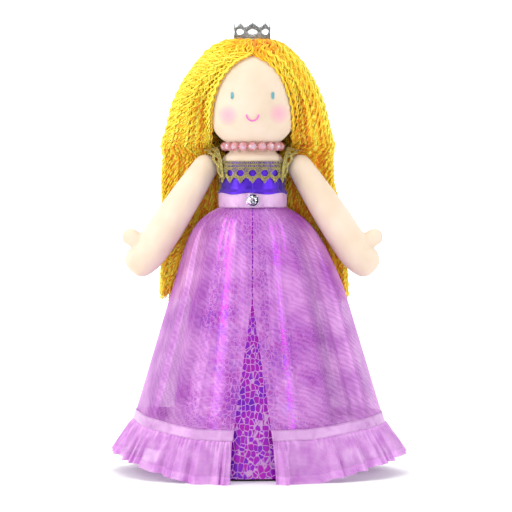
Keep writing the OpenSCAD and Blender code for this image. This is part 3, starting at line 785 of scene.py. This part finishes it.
def add_bodice(material):
    """Satin bodice; its wavy lower edge laps over the waist ribbon."""
    theta = linspace(0, TAU, 181)
    t = linspace(0, 1, 40)[:, None]
    hang = BELT_TOP - 0.5 + 0.6 * cos(LIP_WAVES * (theta + radians(5)))
    z = NECKLINE_Z + (hang - NECKLINE_Z) * t
    over = smoothstep((BELT_TOP + 3.5 - z) / 4)
    pleats = 0.08 * sin(theta * 23) * t + 0.12 * sin(theta * 9 + 1) * smoothstep(t * 2)
    r = CHEST_R + 0.75 + (BELT_R - 0.3 - CHEST_R) * over + pleats
    r = r + 0.12 * smoothstep((t - 0.85) / 0.15) * (1 + cos(LIP_WAVES * theta + 2.6))
    r = where(t < 0.03, r - 0.25, r)
    bodice = make_piece("satin_bodice", *shell(polar(r, theta, z), 0.45), material)
    return place(bodice, "torso", "purple_satin", "bodice")


def corded(grid, thickness, cord_r, outward):
    """Shell of a ribbon with a cord along its first and last row."""
    edges = grid[[0, -1]]
    cords = tubes(edges, cord_r, 6, unit(edges * [1, 1, 0]))[:2]
    return join_meshes([shell(grid, thickness, outward), cords])


def add_ribbon(material):
    """Waist ribbon of satin with a corded selvedge along both edges."""
    theta = linspace(0, TAU, 181)
    t = linspace(0, 1, 14)[:, None]
    z = WAIST_Z + (BELT_TOP - WAIST_Z) * t + 0.12 * sin(theta * 3 + 0.5)
    ripple = 0.10 * sin(theta * 5 + 2 * t) + 0.08 * sin(theta * 11 - 3 * t)
    r = BELT_R - 0.1 + ripple - 0.1 * (2 * t - 1) ** 2
    ribbon = make_piece("waist_ribbon_satin", *corded(polar(r, theta, z), 0.4, 0.26, False), material)
    return place(ribbon, "torso", "pink_ribbon", "waist_ribbon")


def faceted(rows, sides, roll=0.0, ends=(0, -1)):
    """Triangles of a cut stone along x from rows of (radius, place); odd rows turn half a step."""
    rings, facets = [], []
    for k, (r, along) in enumerate(rows):
        angle = TAU * (arange(sides) + 0.5 * (k % 2)) / sides + roll
        rings.append(xyz(along, r * cos(angle), r * sin(angle)))
    for k in range(len(rows) - 1):
        a, c = rings[k], np.roll(rings[k + 1], -(k % 2), axis=0)
        b, d = np.roll(a, -1, axis=0), np.roll(c, 1, axis=0)
        facets.append(stack([a, b, c, a, c, d], 1).reshape(-1, 3, 3))
    for end in ends:
        ring = rings[end]
        after = np.roll(ring, -1, axis=0)
        middle = np.broadcast_to(ring.mean(axis=0), ring.shape)
        facets.append(stack([after, ring, middle] if end == 0 else [ring, after, middle], 1))
    return concatenate(facets)


def jewel_surface():
    s = Surface("mirror_jewel", Metallic=1.0)
    # Painted reflections: the ramp's black, grey and white facets stand in for what the mirror stone
    # reflects.
    s.set("Base Color", s.ramp(s.attribute("facet"), (0.0, (8, 6, 12)), (0.4, (36, 30, 44)),
                               (0.52, (180, 174, 196)), (0.8, (250, 250, 255)), (1.0, (225, 190, 235))))
    s.set("Roughness", s.ramp(s.noise(0.4, 3), (0.3, 0.03), (0.7, 0.10)))
    return s.material


def add_jewel(material):
    """Faceted mirror stone in a beaded rim; each of its facets carries a painted reflection."""
    facets = faceted(((4.0, 0.5), (3.9, 1.0), (3.1, 2.1), (1.9, 2.9)), 12, ends=(-1,))
    # Painted reflections: facets grow darker towards the doll's left side (the camera's right), and each
    # takes a random grey from black to white; the rim keeps a fixed silver-grey.
    painted_reflection_side = clip(0.56 - 0.12 * facets[..., 1].mean(axis=1), 0, 1)
    tone = np.repeat(clip(painted_reflection_side + np.random.default_rng(5).uniform(-0.45, 0.4, len(facets)), 0, 1), 3)
    middle = array([0, -BELT_R, (WAIST_Z + BELT_TOP) / 2])
    points = facets.reshape(-1, 3)[:, [1, 0, 2]] * [1, -1, 1] + middle
    angle = linspace(0, TAU, 49)
    rim = xyz(JEWEL_R * cos(angle), -0.5, JEWEL_R * sin(angle))[None] + middle
    rim_points, rim_faces, _ = tubes(rim, 0.42 + 0.08 * cos(angle * 24), 8, array([0, -1.0, 0]))
    points, faces = join_meshes([(points, [arange(len(points)).reshape(-1, 3)]), (rim_points, rim_faces)])
    tone = concatenate([tone, np.full(len(rim_points), 0.6)])
    jewel = make_piece("ribbon_jewel_stone", points, faces, material, smooth=False, facet=tone)
    place(jewel, "torso", "silver_jewel", "ribbon_jewel")


# ---------- skirts ----------

# Radius at the waist, puff below it and flare, sideways (A) and from front to back (B)
OVER_A = (OVER_TOP_R, 19, 0.305)
OVER_B = (OVER_TOP_R, 9, 0.21)
UNDER_A = (UNDER_TOP_R, 9.5, 0.165)
UNDER_B = (UNDER_TOP_R, 6.3, 0.125)
SLIT_TOP_Z = 116
FOLD_SEED = 11
# Pressed folds of the overskirt: angle from the front in degrees, drift in radians, depth in millimetres
CREASES = ((-37, -0.05, 1.5), (-21, -0.10, 1.0), (17, 0.05, 1.2), (29, 0.12, 1.3), (44, 0.06, 1.5),
           (60, 0.0, 1.0), (-62, 0.04, 1.1), (118, 0.1, 1.4), (150, -0.1, 1.4), (180, 0.1, 1.5),
           (-150, 0.05, 1.3), (-115, 0.0, 1.4))
# How far the gown's sides swing to the doll's left, in millimetres
GOWN_SWING = 5.6
# Width and height of each cloth's weave, in metres
OVER_CLOTH = (0.48, 0.172)
RUFFLE_CLOTH = (1.2, 0.032)
FOIL_CLOTH = (TAU * 52 * MM, 0.178)
FOIL_CELL = 0.0031


def flared(shape, h):
    """Half width of a skirt at a depth below the waist."""
    top_r, puff, flare = shape
    h = maximum(h, 0)
    return top_r + puff * (1 - exp(-h / 10)) + flare * h


def side_lift(theta):
    return maximum(0, (np.abs(sin(theta)) - 0.3) / 0.7)


def hem_height(theta):
    return HEM_Z + HEM_RISE * side_lift(theta)


def skirt_angle(u, z, a):
    """Angle from the front round the overskirt: u runs from one edge of the slit to the other."""
    width = 0.8 + 25.2 * maximum(0, SLIT_TOP_Z - z) / (SLIT_TOP_Z - HEM_Z)
    start = np.arcsin(np.minimum(1, width / 2 / a))
    return start + (TAU - 2 * start) * u


def folds(theta, h, seed, waves, depth):
    """Soft folds that start as gathers at the waist and open towards the hem."""
    draw = np.random.default_rng(seed)
    total = 0 * theta
    for number in waves:
        phase = draw.uniform(0, TAU)
        bend = theta + draw.uniform(-0.6, 0.6) * 0.12 * h / 150
        total = total + draw.uniform(0.6, 1.0) / len(waves) * cos(number * bend + phase)
    return total * depth


def sheer_surface(name, metal, tint, period, sway):
    """Start of an organza: the surface and its warp and weft."""
    s = Surface(name, Roughness=0.42, Metallic=metal, Sheen_Weight=0.2, Sheen_Roughness=0.35,
                Sheen_Tint=srgb(*tint))
    s.material.surface_render_method = "DITHERED"
    cloth = s.uv("Cloth")
    return s, s.bands(period, "X", sway[0], cloth), s.bands(period, "Y", sway[1], cloth)


def organza_surface():
    """Sheer shimmering weave: alpha and colour follow two sets of fine threads and slow waves."""
    s, warp, weft = sheer_surface("orchid_organza_cloth", 0.15, (255, 150, 255), 0.8, (0.8, 1.0))
    moire = s.bands(1.5, "DIAGONAL", 6.0, s.scaled(s.uv("Cloth"), 0.434, 0.744))
    threads = s.total((warp, 0.4), (weft, 0.4), (moire, 0.2))
    cloud = s.noise(24, 2)
    s.set("Base Color", s.ramp(s.total((threads, 0.35), (cloud, 0.75)),
                               (0.35, (170, 54, 188)), (0.75, (238, 174, 236))))
    veil = s.ramp(s.total((threads, 0.5), (cloud, 0.5)), (0.25, 0.30), (0.75, 0.56))
    s.set("Alpha", s.total((veil, 1), (s.attribute("dense"), 0.34), clamp=True))
    s.bump(threads, 0.35, 0.08)
    return s.material


def ruffle_surface():
    """Lilac organza, denser where it is gathered and where its edge is folded back."""
    s, warp, weft = sheer_surface("ruffle_organza", 0.12, (255, 170, 255), 0.9, (1.5, 2.5))
    threads = s.total((warp, 0.4), (weft, 0.5))
    s.set("Base Color", s.ramp(s.total((threads, 0.4), (s.noise(8, 3), 0.7)),
                               (0.25, (186, 92, 198)), (0.85, (240, 190, 240))))
    fold = s.ramp(s.attribute("hem"), (0.0, 0.9), (0.12, 0.6), (0.8, 0.45), (0.835, 0.68), (1.0, 0.66))
    s.set("Alpha", s.total((fold, 1), (threads, 0.14), (s.attribute("dense"), 0.3), clamp=True))
    s.bump(threads, 0.3, 0.08)
    return s.material


def foil_surface():
    """Foil cloth: mirror-like cells in a reptile pattern, with pale gaps between them."""
    s = Surface("purple_foil", Metallic=0.85, Coat_Weight=0.7, Coat_Roughness=0.28)
    sway = s.node("ShaderNodeVectorMath", {0: s.noise(14, 2), "Scale": 0.004}, operation="SCALE")
    bent = s.node("ShaderNodeVectorMath", {0: s.uv("Cloth"), 1: sway.outputs["Vector"]}, operation="ADD")
    cloth = s.scaled(bent.outputs["Vector"], 1.0, 0.88)
    grid = {"Vector": cloth, "Scale": 1 / FOIL_CELL, "Randomness": 0.62}
    near = s.node("ShaderNodeTexVoronoi", grid, feature="DISTANCE_TO_EDGE").outputs["Distance"]
    pick = s.node("ShaderNodeTexVoronoi", grid, feature="F1").outputs["Color"]
    gap = s.ramp(near, (0.02, 1.0), (0.07, 0.0))
    cell = s.ramp(s.total((pick, 0.4), (s.noise(22, 1), 0.75)), (0.22, (118, 4, 200)), (0.42, (150, 4, 216)),
                  (0.58, (198, 8, 200)), (0.75, (170, 10, 228)), (0.95, (220, 14, 160)))
    s.set("Base Color", s.mix(gap, cell, srgb(226, 176, 232)))
    s.set("Roughness", s.ramp(gap, (0.0, 0.22), (1.0, 0.5)))
    s.bump(s.math("SUBTRACT", 1.0, gap), 0.7, 0.12)
    return s.material


def over_surface(u, z, off=0.0):
    """Points of the overskirt: u runs round from one edge of the slit to the other."""
    h = WAIST_Z - z
    a = flared(OVER_A, h) + off
    theta = skirt_angle(u, z, a)
    opened = smoothstep(h / 40)
    gathers = 0.32 * cos(41 * theta + 2 * sin(3 * theta))
    gathers = gathers * smoothstep((26 - h) / 26) * smoothstep((h + 4) / 8)
    wave = folds(theta, h, FOLD_SEED, (5, 8, 11, 14), 5.4) + folds(theta, h, FOLD_SEED + 1, (19, 27), 1.3)
    calm = (1 - 0.9 * np.abs(sin(theta)) ** 3) * (1 - 0.75 * smoothstep(-cos(theta) * 4))
    wave = (wave * (0.35 + 0.65 * smoothstep((z - HEM_Z - 4) / 40)) * calm - 0.9) * opened
    crease = 0 * theta
    for angle, drift, depth in CREASES:
        gap = (theta + pi) % TAU - pi - radians(angle) - drift * (1 - exp(-h / 60))
        ridge = exp(-(gap / 0.035) ** 2) - 0.6 * exp(-((gap - 0.07) / 0.05) ** 2)
        crease = crease + depth * ridge * opened
    r_off = wave + gathers + crease * smoothstep((z - HEM_Z - 2) / 30)
    swing = GOWN_SWING * smoothstep(h / 60) * sin(theta) ** 2 * smoothstep((0.35 + cos(theta)) / 0.5)
    return xyz((a + r_off) * sin(theta) + swing, -(flared(OVER_B, h) + off + r_off) * cos(theta), z)


def slope(grid):
    """How steeply the cloth turns away sideways, from 0 to 1: gathered cloth looks denser there."""
    along = unit(np.gradient(grid, axis=1) * [1, 1, 0])
    outward = unit(grid * [1, 1.6, 0])
    return clip(np.abs(np.sum(along * outward, -1)) * 1.6, 0, 1)


def add_overskirt(material):
    cols, rows = 401, 130
    u = linspace(0, 1, cols)[None, :]
    theta = TAU * u
    z = SKIRT_TOP + (hem_height(theta) - SKIRT_TOP) * linspace(0, 1, rows)[:, None] ** 1.25
    grid = over_surface(u, z)
    sides = 0.6 * smoothstep((np.abs(sin(theta)) - 0.55) / 0.45)
    behind = 1.5 * smoothstep(-cos(theta) / 0.3) - 0.35 * (sin(theta) < 0)
    skirt = make_piece("organza_overskirt", grid, [sheet_faces(rows, cols)], material,
                       sheet_uvs(rows, cols, *OVER_CLOTH), "Cloth",
                       dense=slope(grid) * 0.6 + maximum(sides, behind))
    return place(skirt, "torso", "orchid_organza", "overskirt")


def add_hem_ribbon(material):
    """Narrow satin ribbon with corded edges, sewn along the overskirt's hem."""
    u = linspace(0, 1, 401)[None, :]
    grid = over_surface(u, hem_height(TAU * u) + linspace(6.5, 0.1, 9)[:, None], 0.55)
    ribbon = make_piece("hem_ribbon_satin", *corded(grid, 0.35, 0.2, True), material)
    return place(ribbon, "torso", "lilac_ribbon", "hem_ribbon")


def add_ruffle(material):
    """Gathered ruffle: doubled organza with dense gathers above and loose waves at its edge."""
    cols, rows = 901, 26
    u = linspace(0, 1, cols)[None, :]
    w = linspace(0, 1, rows)[:, None]
    turn = TAU * u
    top = hem_height(turn) + 0.6
    theta = skirt_angle(u, top, flared(OVER_A, WAIST_Z - top))
    warp = turn + 0.05 * sin(7 * turn + 1) + 0.04 * sin(13 * turn)
    broad = 0.8 * cos(46 * warp) + 0.6 * cos(29 * warp + 1.1) + 0.45 * cos(71 * warp + 2.0)
    fine = cos(150 * warp + 1.5 * sin(9 * warp)) * (1 - smoothstep(w / 0.5))
    wave = 1.7 * broad * w ** 0.7 + 0.4 * fine
    low = 13.5 * side_lift(turn) + 0.45 * (1 + cos(31 * warp)) * smoothstep(np.abs(sin(theta)) * 1.6 - 0.2)
    lean = 1.1 * sin(46 * warp + 0.8) * w
    x, y, _ = over_surface(u, top).transpose(2, 0, 1)
    x = x + (14 * w ** 0.85 + wave) * sin(theta) + lean * cos(theta)
    y = y - (5 * w ** 0.85 + wave) * cos(theta) + lean * sin(theta)
    # The last gather lies flat on the slit's edge.
    x[:, -1] = x[:, -2]
    grid = xyz(x, y, top + (low - top) * w)
    gap = 0.9 + 0.5 * cos(23 * warp + 2)
    inner = grid - polar(gap, theta, -1.1 * w)
    faces = sheet_faces(rows, cols)
    points, faces = join_meshes([(grid, [faces]), (inner, [faces])])
    uv = sheet_uvs(rows, cols, *RUFFLE_CLOTH)
    edge = np.broadcast_to(w, x.shape)
    ruffle = make_piece("organza_ruffle", points, faces, material, concatenate([uv, uv]), "Cloth",
                        hem=concatenate([edge, edge]), dense=concatenate([slope(grid), slope(inner)]))
    return place(ruffle, "torso", "lilac_organza", "hem_ruffle")


def add_underskirt(material):
    cols, rows = 241, 90
    u = linspace(0, 1, cols)[None, :]
    z = SKIRT_TOP + (UNDER_HEM_Z - SKIRT_TOP) * linspace(0, 1, rows)[:, None] ** 1.2
    h = WAIST_Z - z
    theta = pi + TAU * u
    opened = smoothstep(h / 60)
    wave = (folds(theta, h, 3, (4, 6, 9), 1.8) - 0.6) * opened + 0.2 * cos(33 * theta) * (1 - opened)
    grid = xyz((flared(UNDER_A, h) + wave) * sin(theta), -(flared(UNDER_B, h) + wave) * cos(theta), z)
    skirt = make_piece("foil_underskirt", grid, [sheet_faces(rows, cols)], material,
                       sheet_uvs(rows, cols, *FOIL_CLOTH), "Cloth")
    return place(skirt, "torso", "purple_foil_cloth", "underskirt")


# ---------- necklace ----------

def bead_surface():
    s = Surface("rainbow_bead", IOR=1.5, Transmission_Weight=0.45, Coat_Weight=0.8,
                Coat_Roughness=0.03, Thin_Film_Thickness=420.0, Thin_Film_IOR=1.6)
    # Painted glints: coral pink is the glass's own colour; the pale lilac and white end of the ramp is
    # painted light on the facets.
    s.set("Base Color", s.ramp(s.attribute("facet"), (0.0, (250, 140, 152)), (0.35, (254, 186, 194)),
                               (0.6, (252, 214, 228)), (0.8, (228, 208, 252)), (1.0, (255, 255, 255))))
    s.set("Roughness", s.ramp(s.noise(0.6, 2), (0.3, 0.03), (0.7, 0.12)))
    return s.material


def set_cad_material(node, material):
    """Gives a CAD node that stays in view a better material."""
    piece = frame["nodes"][node]
    piece.data.materials.clear()
    piece.data.materials.append(material)


def add_necklace(bead_material, thread_material):
    """Faceted beads on their elastic thread; each of their facets takes its own tint, with painted glints
    and a painted paler middle.
    """
    count = int(pi / np.arcsin((2 * BEAD_R + 0.2) / 2 / RING_R))
    rows = ((0.95, -2.85), (2.25, -2.05), (2.95, -0.75), (2.95, 0.75), (2.25, 2.05), (0.95, 2.85))
    draw = np.random.default_rng(9)
    points, painted_glints = [], []
    for number in range(count):
        turn = TAU * number / count
        facets = faceted(rows, 10, draw.uniform(0, TAU))
        middles = facets.mean(axis=1)
        # Painted light: facets facing out from the ring and in towards the neck turn paler, standing in for
        # the clear look through the glass, and random facets reach painted white glints.
        centre = clip(1 - np.hypot(middles[:, 0], middles[:, 2]) / 2.6, 0, 1)
        tint = draw.uniform(0, 0.45, len(facets)) + centre * draw.uniform(0.2, 0.75, len(facets))
        x, y, z = facets.reshape(-1, 3).T
        y = y - RING_R
        points.append(xyz(x * cos(turn) - y * sin(turn), x * sin(turn) + y * cos(turn), z + NECKLACE_Z))
        painted_glints.append(np.repeat(clip(tint, 0, 1), 3))
    points = concatenate(points)
    beads = make_piece("faceted_beads", points, [arange(len(points)).reshape(-1, 3)], bead_material,
                       smooth=False, facet=concatenate(painted_glints))
    place(beads, "necklace", "pink_beads", "necklace_beads")
    set_cad_material("necklace_thread", thread_material)


# ---------- hair ----------

PARTING_W = 1.6
FACE_HALF = 28.0
# Outline rows of the hair on the head: height above the head's centre, half width, front depth,
# back depth and where the middle of its depth lies. The first rows close over the parting.
HAIR_ROWS = array([
    [32.9, 0.4, 15.0, 16.5, 2.5], [34.6, 6.0, 15.8, 17.0, 2.5], [34.7, 12.5, 16.6, 18.0, 2.7],
    [33.6, 19.0, 18.6, 20.0, 3.0], [30.6, 25.2, 22.6, 24.0, 3.6], [26.2, 30.6, 26.4, 28.0, 4.2],
    [20.8, 35.4, 29.6, 31.2, 4.7], [14.0, 40.0, 32.0, 32.6, 5.5], [6.0, 45.0, 33.0, 33.9, 6.0],
    [-7.0, 51.0, 32.0, 35.2, 8.0], [-18.0, 54.0, 28.0, 35.2, 9.0], [-26.0, 56.0, 20.0, 35.2, 9.5],
    [-30.5, 57.5, 12.0, 34.7, 10.0], [-34.5, 58.5, 5.0, 34.2, 10.0]])
FALL_ZS = (211.0, 203.0, 192.0, 178.0, 160.0, 140.0)
SIDE_YARN_R = 0.52
CURTAIN_YARN_R = 0.54
SIDE_STEPS = 230
CURTAIN_STEPS = 126
# Tone of the hair's inner mass: painted shade.
PAINTED_CORE_SHADE = 0.74
HAIR_HALF_W = 58.5
HAIR_BACK = 13.0
ARM_CLEAR = ARM_R + 0.9
# Shares of the way from the face to the middle of the back where the front ends and the back starts
FRONT_SHARE = 0.34
EDGE_SHARE = 0.42


def face_half(up):
    """Half width of the face opening at a height above the head's centre."""
    t = clip((up + 26) / 52, 0, 1)
    return maximum(PARTING_W / 4, FACE_HALF * (1 - t ** 2.6) ** 0.68)


def row_point(row, s):
    """Point on a row of the head's hair, s from the face's edge to the middle of the back."""
    up, half, front, back, centre = row
    edge = np.arcsin(np.minimum(1, face_half(up) / half))
    theta = edge + (pi - edge) * s
    x = half * sin(theta)
    y = centre - where(theta < pi / 2, front, back) * cos(theta)
    if -27 < up < 30:
        face_y = -sqrt(maximum(head_radius(HEAD_Z + up, 2.2) ** 2 - x ** 2, 4.0))
        y = y + (face_y - y) * 0.8 * (1 - smoothstep(s / 0.14))
    return xyz(x, y, HEAD_Z + up)


def ellipse_y(x, a, b):
    return b * sqrt(maximum(0, 1 - (x / a) ** 2))


def fall_half_w(z):
    return HAIR_HALF_W + 5 * (CUT_Z - z) / (CUT_Z - HAIR_END_Z)


def fall_front(x, z):
    """Front of the long hair: behind the arms, the bodice and the overskirt."""
    h = WAIST_Z - z
    body_r = where(z > BELT_TOP + 1.5, TRIM_R, BELT_R) + 1.4
    skirt = where(z > WAIST_Z, 0, ellipse_y(x, flared(OVER_A, h) + 0.6, flared(OVER_B, h) + 0.6))
    return maximum(maximum(ARM_CLEAR, ellipse_y(x, body_r, body_r)), skirt)


def fall_back(x, z):
    middle = maximum(44.2, flared(OVER_B, WAIST_Z - z) + HAIR_BACK)
    edge = ARM_CLEAR + 3
    return maximum(edge + ellipse_y(x, fall_half_w(z), middle - edge), fall_front(x, z) + 2.5)


def fall_point(z, s):
    """Point on the long hair's outline at height z, s as in row_point."""
    half = fall_half_w(z) - 1.0
    inner = 19.0 + 30 * smoothstep((WAIST_Z - z) / 60)
    x_front = inner + (half * 0.985 - inner) * clip(s / FRONT_SHARE, 0, 1)
    y_front = fall_front(x_front, z) + 0.9
    x_back = half * cos(clip((s - EDGE_SHARE) / (1 - EDGE_SHARE), 0, 1) * pi / 2)
    y_back = fall_back(x_back, z) - 0.8
    turn = smoothstep((s - FRONT_SHARE) / (EDGE_SHARE - FRONT_SHARE))
    x = where(s < EDGE_SHARE, x_front + (half - x_front) * turn, x_back)
    y = where(s < EDGE_SHARE, y_front + (y_back - y_front) * turn, y_back)
    return xyz(x, y, z)


def side_width(z, side):
    """The hair is a little wider on the doll's right above the arms."""
    upper = smoothstep((z - 165) / 30)
    return where(side > 0, 1.03 - 0.11 * upper, 1.0 + 0.035 * upper)


def hair_stations(s, side, tips):
    """Points that each strand passes, from the parting to its tip: (stations, strands, 3)."""
    stations = array([row_point(row, s) for row in HAIR_ROWS] + [fall_point(z, s) for z in (*FALL_ZS, tips)])
    spread = side_width(stations[..., 2], side) - 1
    stations[..., 0] *= side * (1 + spread * (0.35 + 0.65 * smoothstep(s / 0.2)))
    return stations


def ragged_tips(draw, strands):
    """Heights of the strands' tips; four neighbours end close together."""
    tips = HAIR_END_Z + 2 + np.repeat(draw.uniform(0, 13, strands // 4 + 1), 4)[:strands]
    return tips + draw.uniform(0, 3, strands)


def crimped(stations, outward_from, draw, steps, depth, lock_size, crimp=1.0, loose=1.0):
    """Strands that wave in locks: paths, width factors, outward vectors, runs and each one's lock."""
    strands = stations.shape[1]
    lock = arange(strands) // lock_size

    def per_lock(low, high):
        return draw.uniform(low, high, lock[-1] + 1)[lock][:, None]

    def per_strand(spread):
        return draw.normal(0, spread, strands)[:, None]

    smooth = array([even_curve(stations[:, k], steps) for k in range(strands)])
    length = np.linalg.norm(np.diff(smooth, axis=1), axis=2).sum(axis=1)[:, None]
    run = linspace(0, 1, steps) * length
    tangent = unit(np.gradient(smooth, axis=1))
    out = smooth - outward_from(smooth)
    out = unit(out - np.sum(out * tangent, -1, keepdims=True) * tangent)
    phase = per_lock(0, TAU) + per_strand(1.7)
    wave = 6.3 + per_lock(-0.8, 0.8) + per_strand(0.25)
    size = (1.2 + per_lock(-0.35, 0.45)) * crimp
    lift = per_lock(-0.6, 0.9) + per_strand(0.35)
    sway = per_lock(-1, 1)
    sway_phase = per_lock(0, TAU)
    grow = clip((run - 6) / 22, 0.12, 1)
    angle = TAU * run / wave + phase + 0.8 * sin(run / 23 + phase)
    sideways = (size * sin(angle) + 1.3 * sway * sin(run / 13 + sway_phase)) * grow
    stray = per_strand(0.9) * smoothstep((run - length + 28) / 28)
    path = smooth + np.cross(tangent, out) * (loose * (sideways + stray))[..., None]
    path = path + out * ((0.4 * size * sin(angle + 1.3) + lift - depth) * grow)[..., None]
    width = (0.62 + 0.38 * smoothstep(run / 16)) * (0.45 + 0.55 * smoothstep((length - run) / 5))
    return path, width * (1 + 0.12 * sin(run * 1.9 + phase)), out, run, lock


def head_axis(points):
    """The hair's outward side is away from this line."""
    return xyz(0, 9, np.minimum(points[..., 2], HEAD_Z))


def front_axis(points):
    """For strands on the curtain's front face, outward is towards the front."""
    return points + [0, 30, 0]


def finish_hair(piece, *nodes):
    """Bakes the piece's placement into its mesh and hides the CAD nodes that it stands for."""
    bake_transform(piece)
    if nodes:
        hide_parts(*nodes)


def strand_piece(name, paths, width, out, tone, material, nodes):
    points, faces, uv = tubes(paths, width, 4, out)
    finish_hair(make_piece(name, points, faces, material, uv, tone=np.repeat(clip(tone, 0, 1), 4)), *nodes)


def yarn_surface():
    """Lemon yarn that turns orange near the parting and, as painted shade, deep in the mass."""
    s = Surface("crimped_yarn", Roughness=0.45, Sheen_Weight=0.6, Sheen_Roughness=0.4,
                Sheen_Tint=srgb(255, 244, 170), Specular_IOR_Level=0.35)
    cloud = s.math("SUBTRACT", s.noise(3.0, 2), 0.5)
    # The orange end of the tone ramp is painted shade for yarn deep in the mass, behind the neck and on the
    # doll's left side.
    s.set("Base Color", s.ramp(s.total((s.attribute("tone"), 1), (cloud, 0.35)), (0.0, (255, 243, 92)),
                               (0.22, (255, 228, 48)), (0.5, (255, 192, 26)), (0.75, (252, 146, 12)),
                               (1.0, (206, 90, 8))))
    s.bump(s.bands(0.5, "DIAGONAL", 1.5), 0.4, 0.12)
    return s.material


def add_hair_side(side, material):
    """One side's hair in two layers: strands from the parting to their tips."""
    name = "hair_" + side_name(side)
    draw = np.random.default_rng(100 + side)
    # The inner layer's extra tone is painted shade deep in the hair.
    layers = (("_outer", 172, 0.0, 0.0, (name + "_top", name + "_fall")), ("_inner", 124, 1.4, 0.32, ()))
    for layer, strands, depth, painted_deep_shade, nodes in layers:
        s = clip(linspace(0.0, 1.0, strands) + draw.uniform(-0.3, 0.3, strands) / strands, 0, 1)
        stations = hair_stations(s, side, ragged_tips(draw, strands))
        loose = 0.4 + 0.6 * smoothstep(s / 0.08)[:, None]
        paths, width, out, run, lock = crimped(stations, head_axis, draw, SIDE_STEPS, depth, 3, 1.1, loose)
        shade = draw.uniform(-0.08, 0.12, lock[-1] + 1)[lock] + draw.normal(0, 0.13, strands)
        # Orange near the parting; the extra 0.1 on the doll's left side (the camera's right) is painted
        # shade.
        root = 0.52 * (1 - smoothstep((run - 8) / 40)) + (0.1 if side > 0 else 0.0)
        tone = 0.08 + shade[:, None] + root + 0.08 * smoothstep((run - 60) / 60) + painted_deep_shade
        strand_piece(name + layer, paths, SIDE_YARN_R * width, out, tone, material, nodes)


def add_hair_curtain(material):
    """Strands that hang behind the neck, the arms and the body, seen from the front."""
    draw = np.random.default_rng(77)
    for layer, strands, depth, nodes in (("front", 132, 0.0, ("hair_back_fall",)), ("middle", 96, 2.0, ())):
        x = linspace(-57, 57, strands) + draw.uniform(-0.4, 0.4, strands)
        nape = where(np.abs(x) < 29, ellipse_y(x, 30.6, 30.6), 8)
        stations = [xyz(x * 0.92, nape + 4, 238.0), xyz(x * 0.95, maximum(nape, 14) + 2, 228.0)]
        heights = (219.0, *FALL_ZS, ragged_tips(draw, strands))
        stations = array(stations + [xyz(x, fall_front(x, z) + 2.4, z) for z in heights])
        stations[..., 0] *= side_width(stations[..., 2], stations[..., 0])
        paths, width, out, run, lock = crimped(stations, front_axis, draw, CURTAIN_STEPS, depth, 4)
        shade = draw.uniform(-0.1, 0.1, lock[-1] + 1)[lock] + draw.normal(0, 0.1, strands)
        # Painted shade: the curtain is oranger than the outer hair, most of all in its middle behind the
        # neck.
        tone = 0.2 + (shade + 0.42 * exp(-(x / 32) ** 2))[:, None] + 0 * run
        strand_piece("hair_curtain_" + layer, paths, CURTAIN_YARN_R * width, out, tone, material, nodes)


def add_hair_core(material):
    """Dense inner mass of each side, so that no light passes between the strands; its tone is painted shade.
    """
    for side in (-1, 1):
        stations = hair_stations(linspace(0.05, 1, 60), side, np.full(60, HAIR_END_Z + 20))
        grid = stations - unit(stations - head_axis(stations)) * 2.5
        grid[..., 1] = maximum(grid[..., 1], where(stations[..., 2] < 216, ARM_CLEAR + 0.5, -99))
        faces = grid_faces(*grid.shape[:2])[:, ::side]
        piece = make_piece("hair_mass_" + side_name(side), grid, [faces], material,
                           tone=np.full(grid.shape[:2], PAINTED_CORE_SHADE))
        finish_hair(piece)


def add_parting(material):
    """Small stitches that hold the yarn down along the parting."""
    x = linspace(-1.5, 1.5, 7)
    angle = radians(arange(-26, 36, 3.4))[:, None]
    z = HEAD_Z + (HEAD_TOP + 1.0) * cos(angle) + 0.5 * (1 - (x / 1.5) ** 2)
    points, faces, uv = tubes(xyz(x, 2.5 + 30 * sin(angle), z), 0.32, 6, array([0, 0, 1.0]))
    stitches = make_piece("parting_stitches", points, faces, material, uv)
    place(stitches, "head", "yellow_thread", "parting_stitch")


# ---------- the whole doll ----------

add_camera()
add_studio()
add_floor()

skin = skin_surface("cream_jersey_skin")
add_head(skin_surface("cream_jersey_face", blush=True))
add_torso(skin)
for doll_side in (1, -1):
    add_arm(doll_side, skin)
    add_leg(doll_side, skin)
cream_thread = thread_surface("cream_thread", (214, 186, 150), (244, 226, 198))
set_cad_material("left_shoulder_stitches", cream_thread)
set_cad_material("right_shoulder_stitches", cream_thread)
add_face(thread_surface("teal_thread", (48, 132, 146), (132, 200, 206)),
         thread_surface("pink_thread", (212, 70, 176), (244, 130, 214)))

gold = lace_surface("gold_lace_thread", (34, 26, 4), (250, 232, 138))
lace = add_bodice_lace(gold)
straps = [add_strap(1, gold), add_strap(-1, gold)]
add_crown(lace_surface("silver_lace_thread", (40, 44, 48), (186, 192, 192), (200, 160, 54)))
bodice = add_bodice(satin_surface("purple_satin_cloth", (40, 2, 150), (98, 16, 226), 0.6))
waist_ribbon = add_ribbon(satin_surface("pink_satin_ribbon", (188, 134, 192), (222, 186, 220), 0.12))
add_jewel(jewel_surface())

underskirt = add_underskirt(foil_surface())
overskirt = add_overskirt(organza_surface())
hem_ribbon = add_hem_ribbon(satin_surface("lilac_satin_ribbon", (182, 114, 188), (218, 174, 220), 0.1))
ruffle = add_ruffle(ruffle_surface())

add_necklace(bead_surface(), thread_surface("clear_elastic_thread", (236, 200, 206), (252, 232, 234), 0.2))

yarn = yarn_surface()
add_hair_core(yarn)
add_hair_side(1, yarn)
add_hair_side(-1, yarn)
add_hair_curtain(yarn)
add_parting(thread_surface("yellow_thread", (232, 170, 30), (255, 226, 96)))
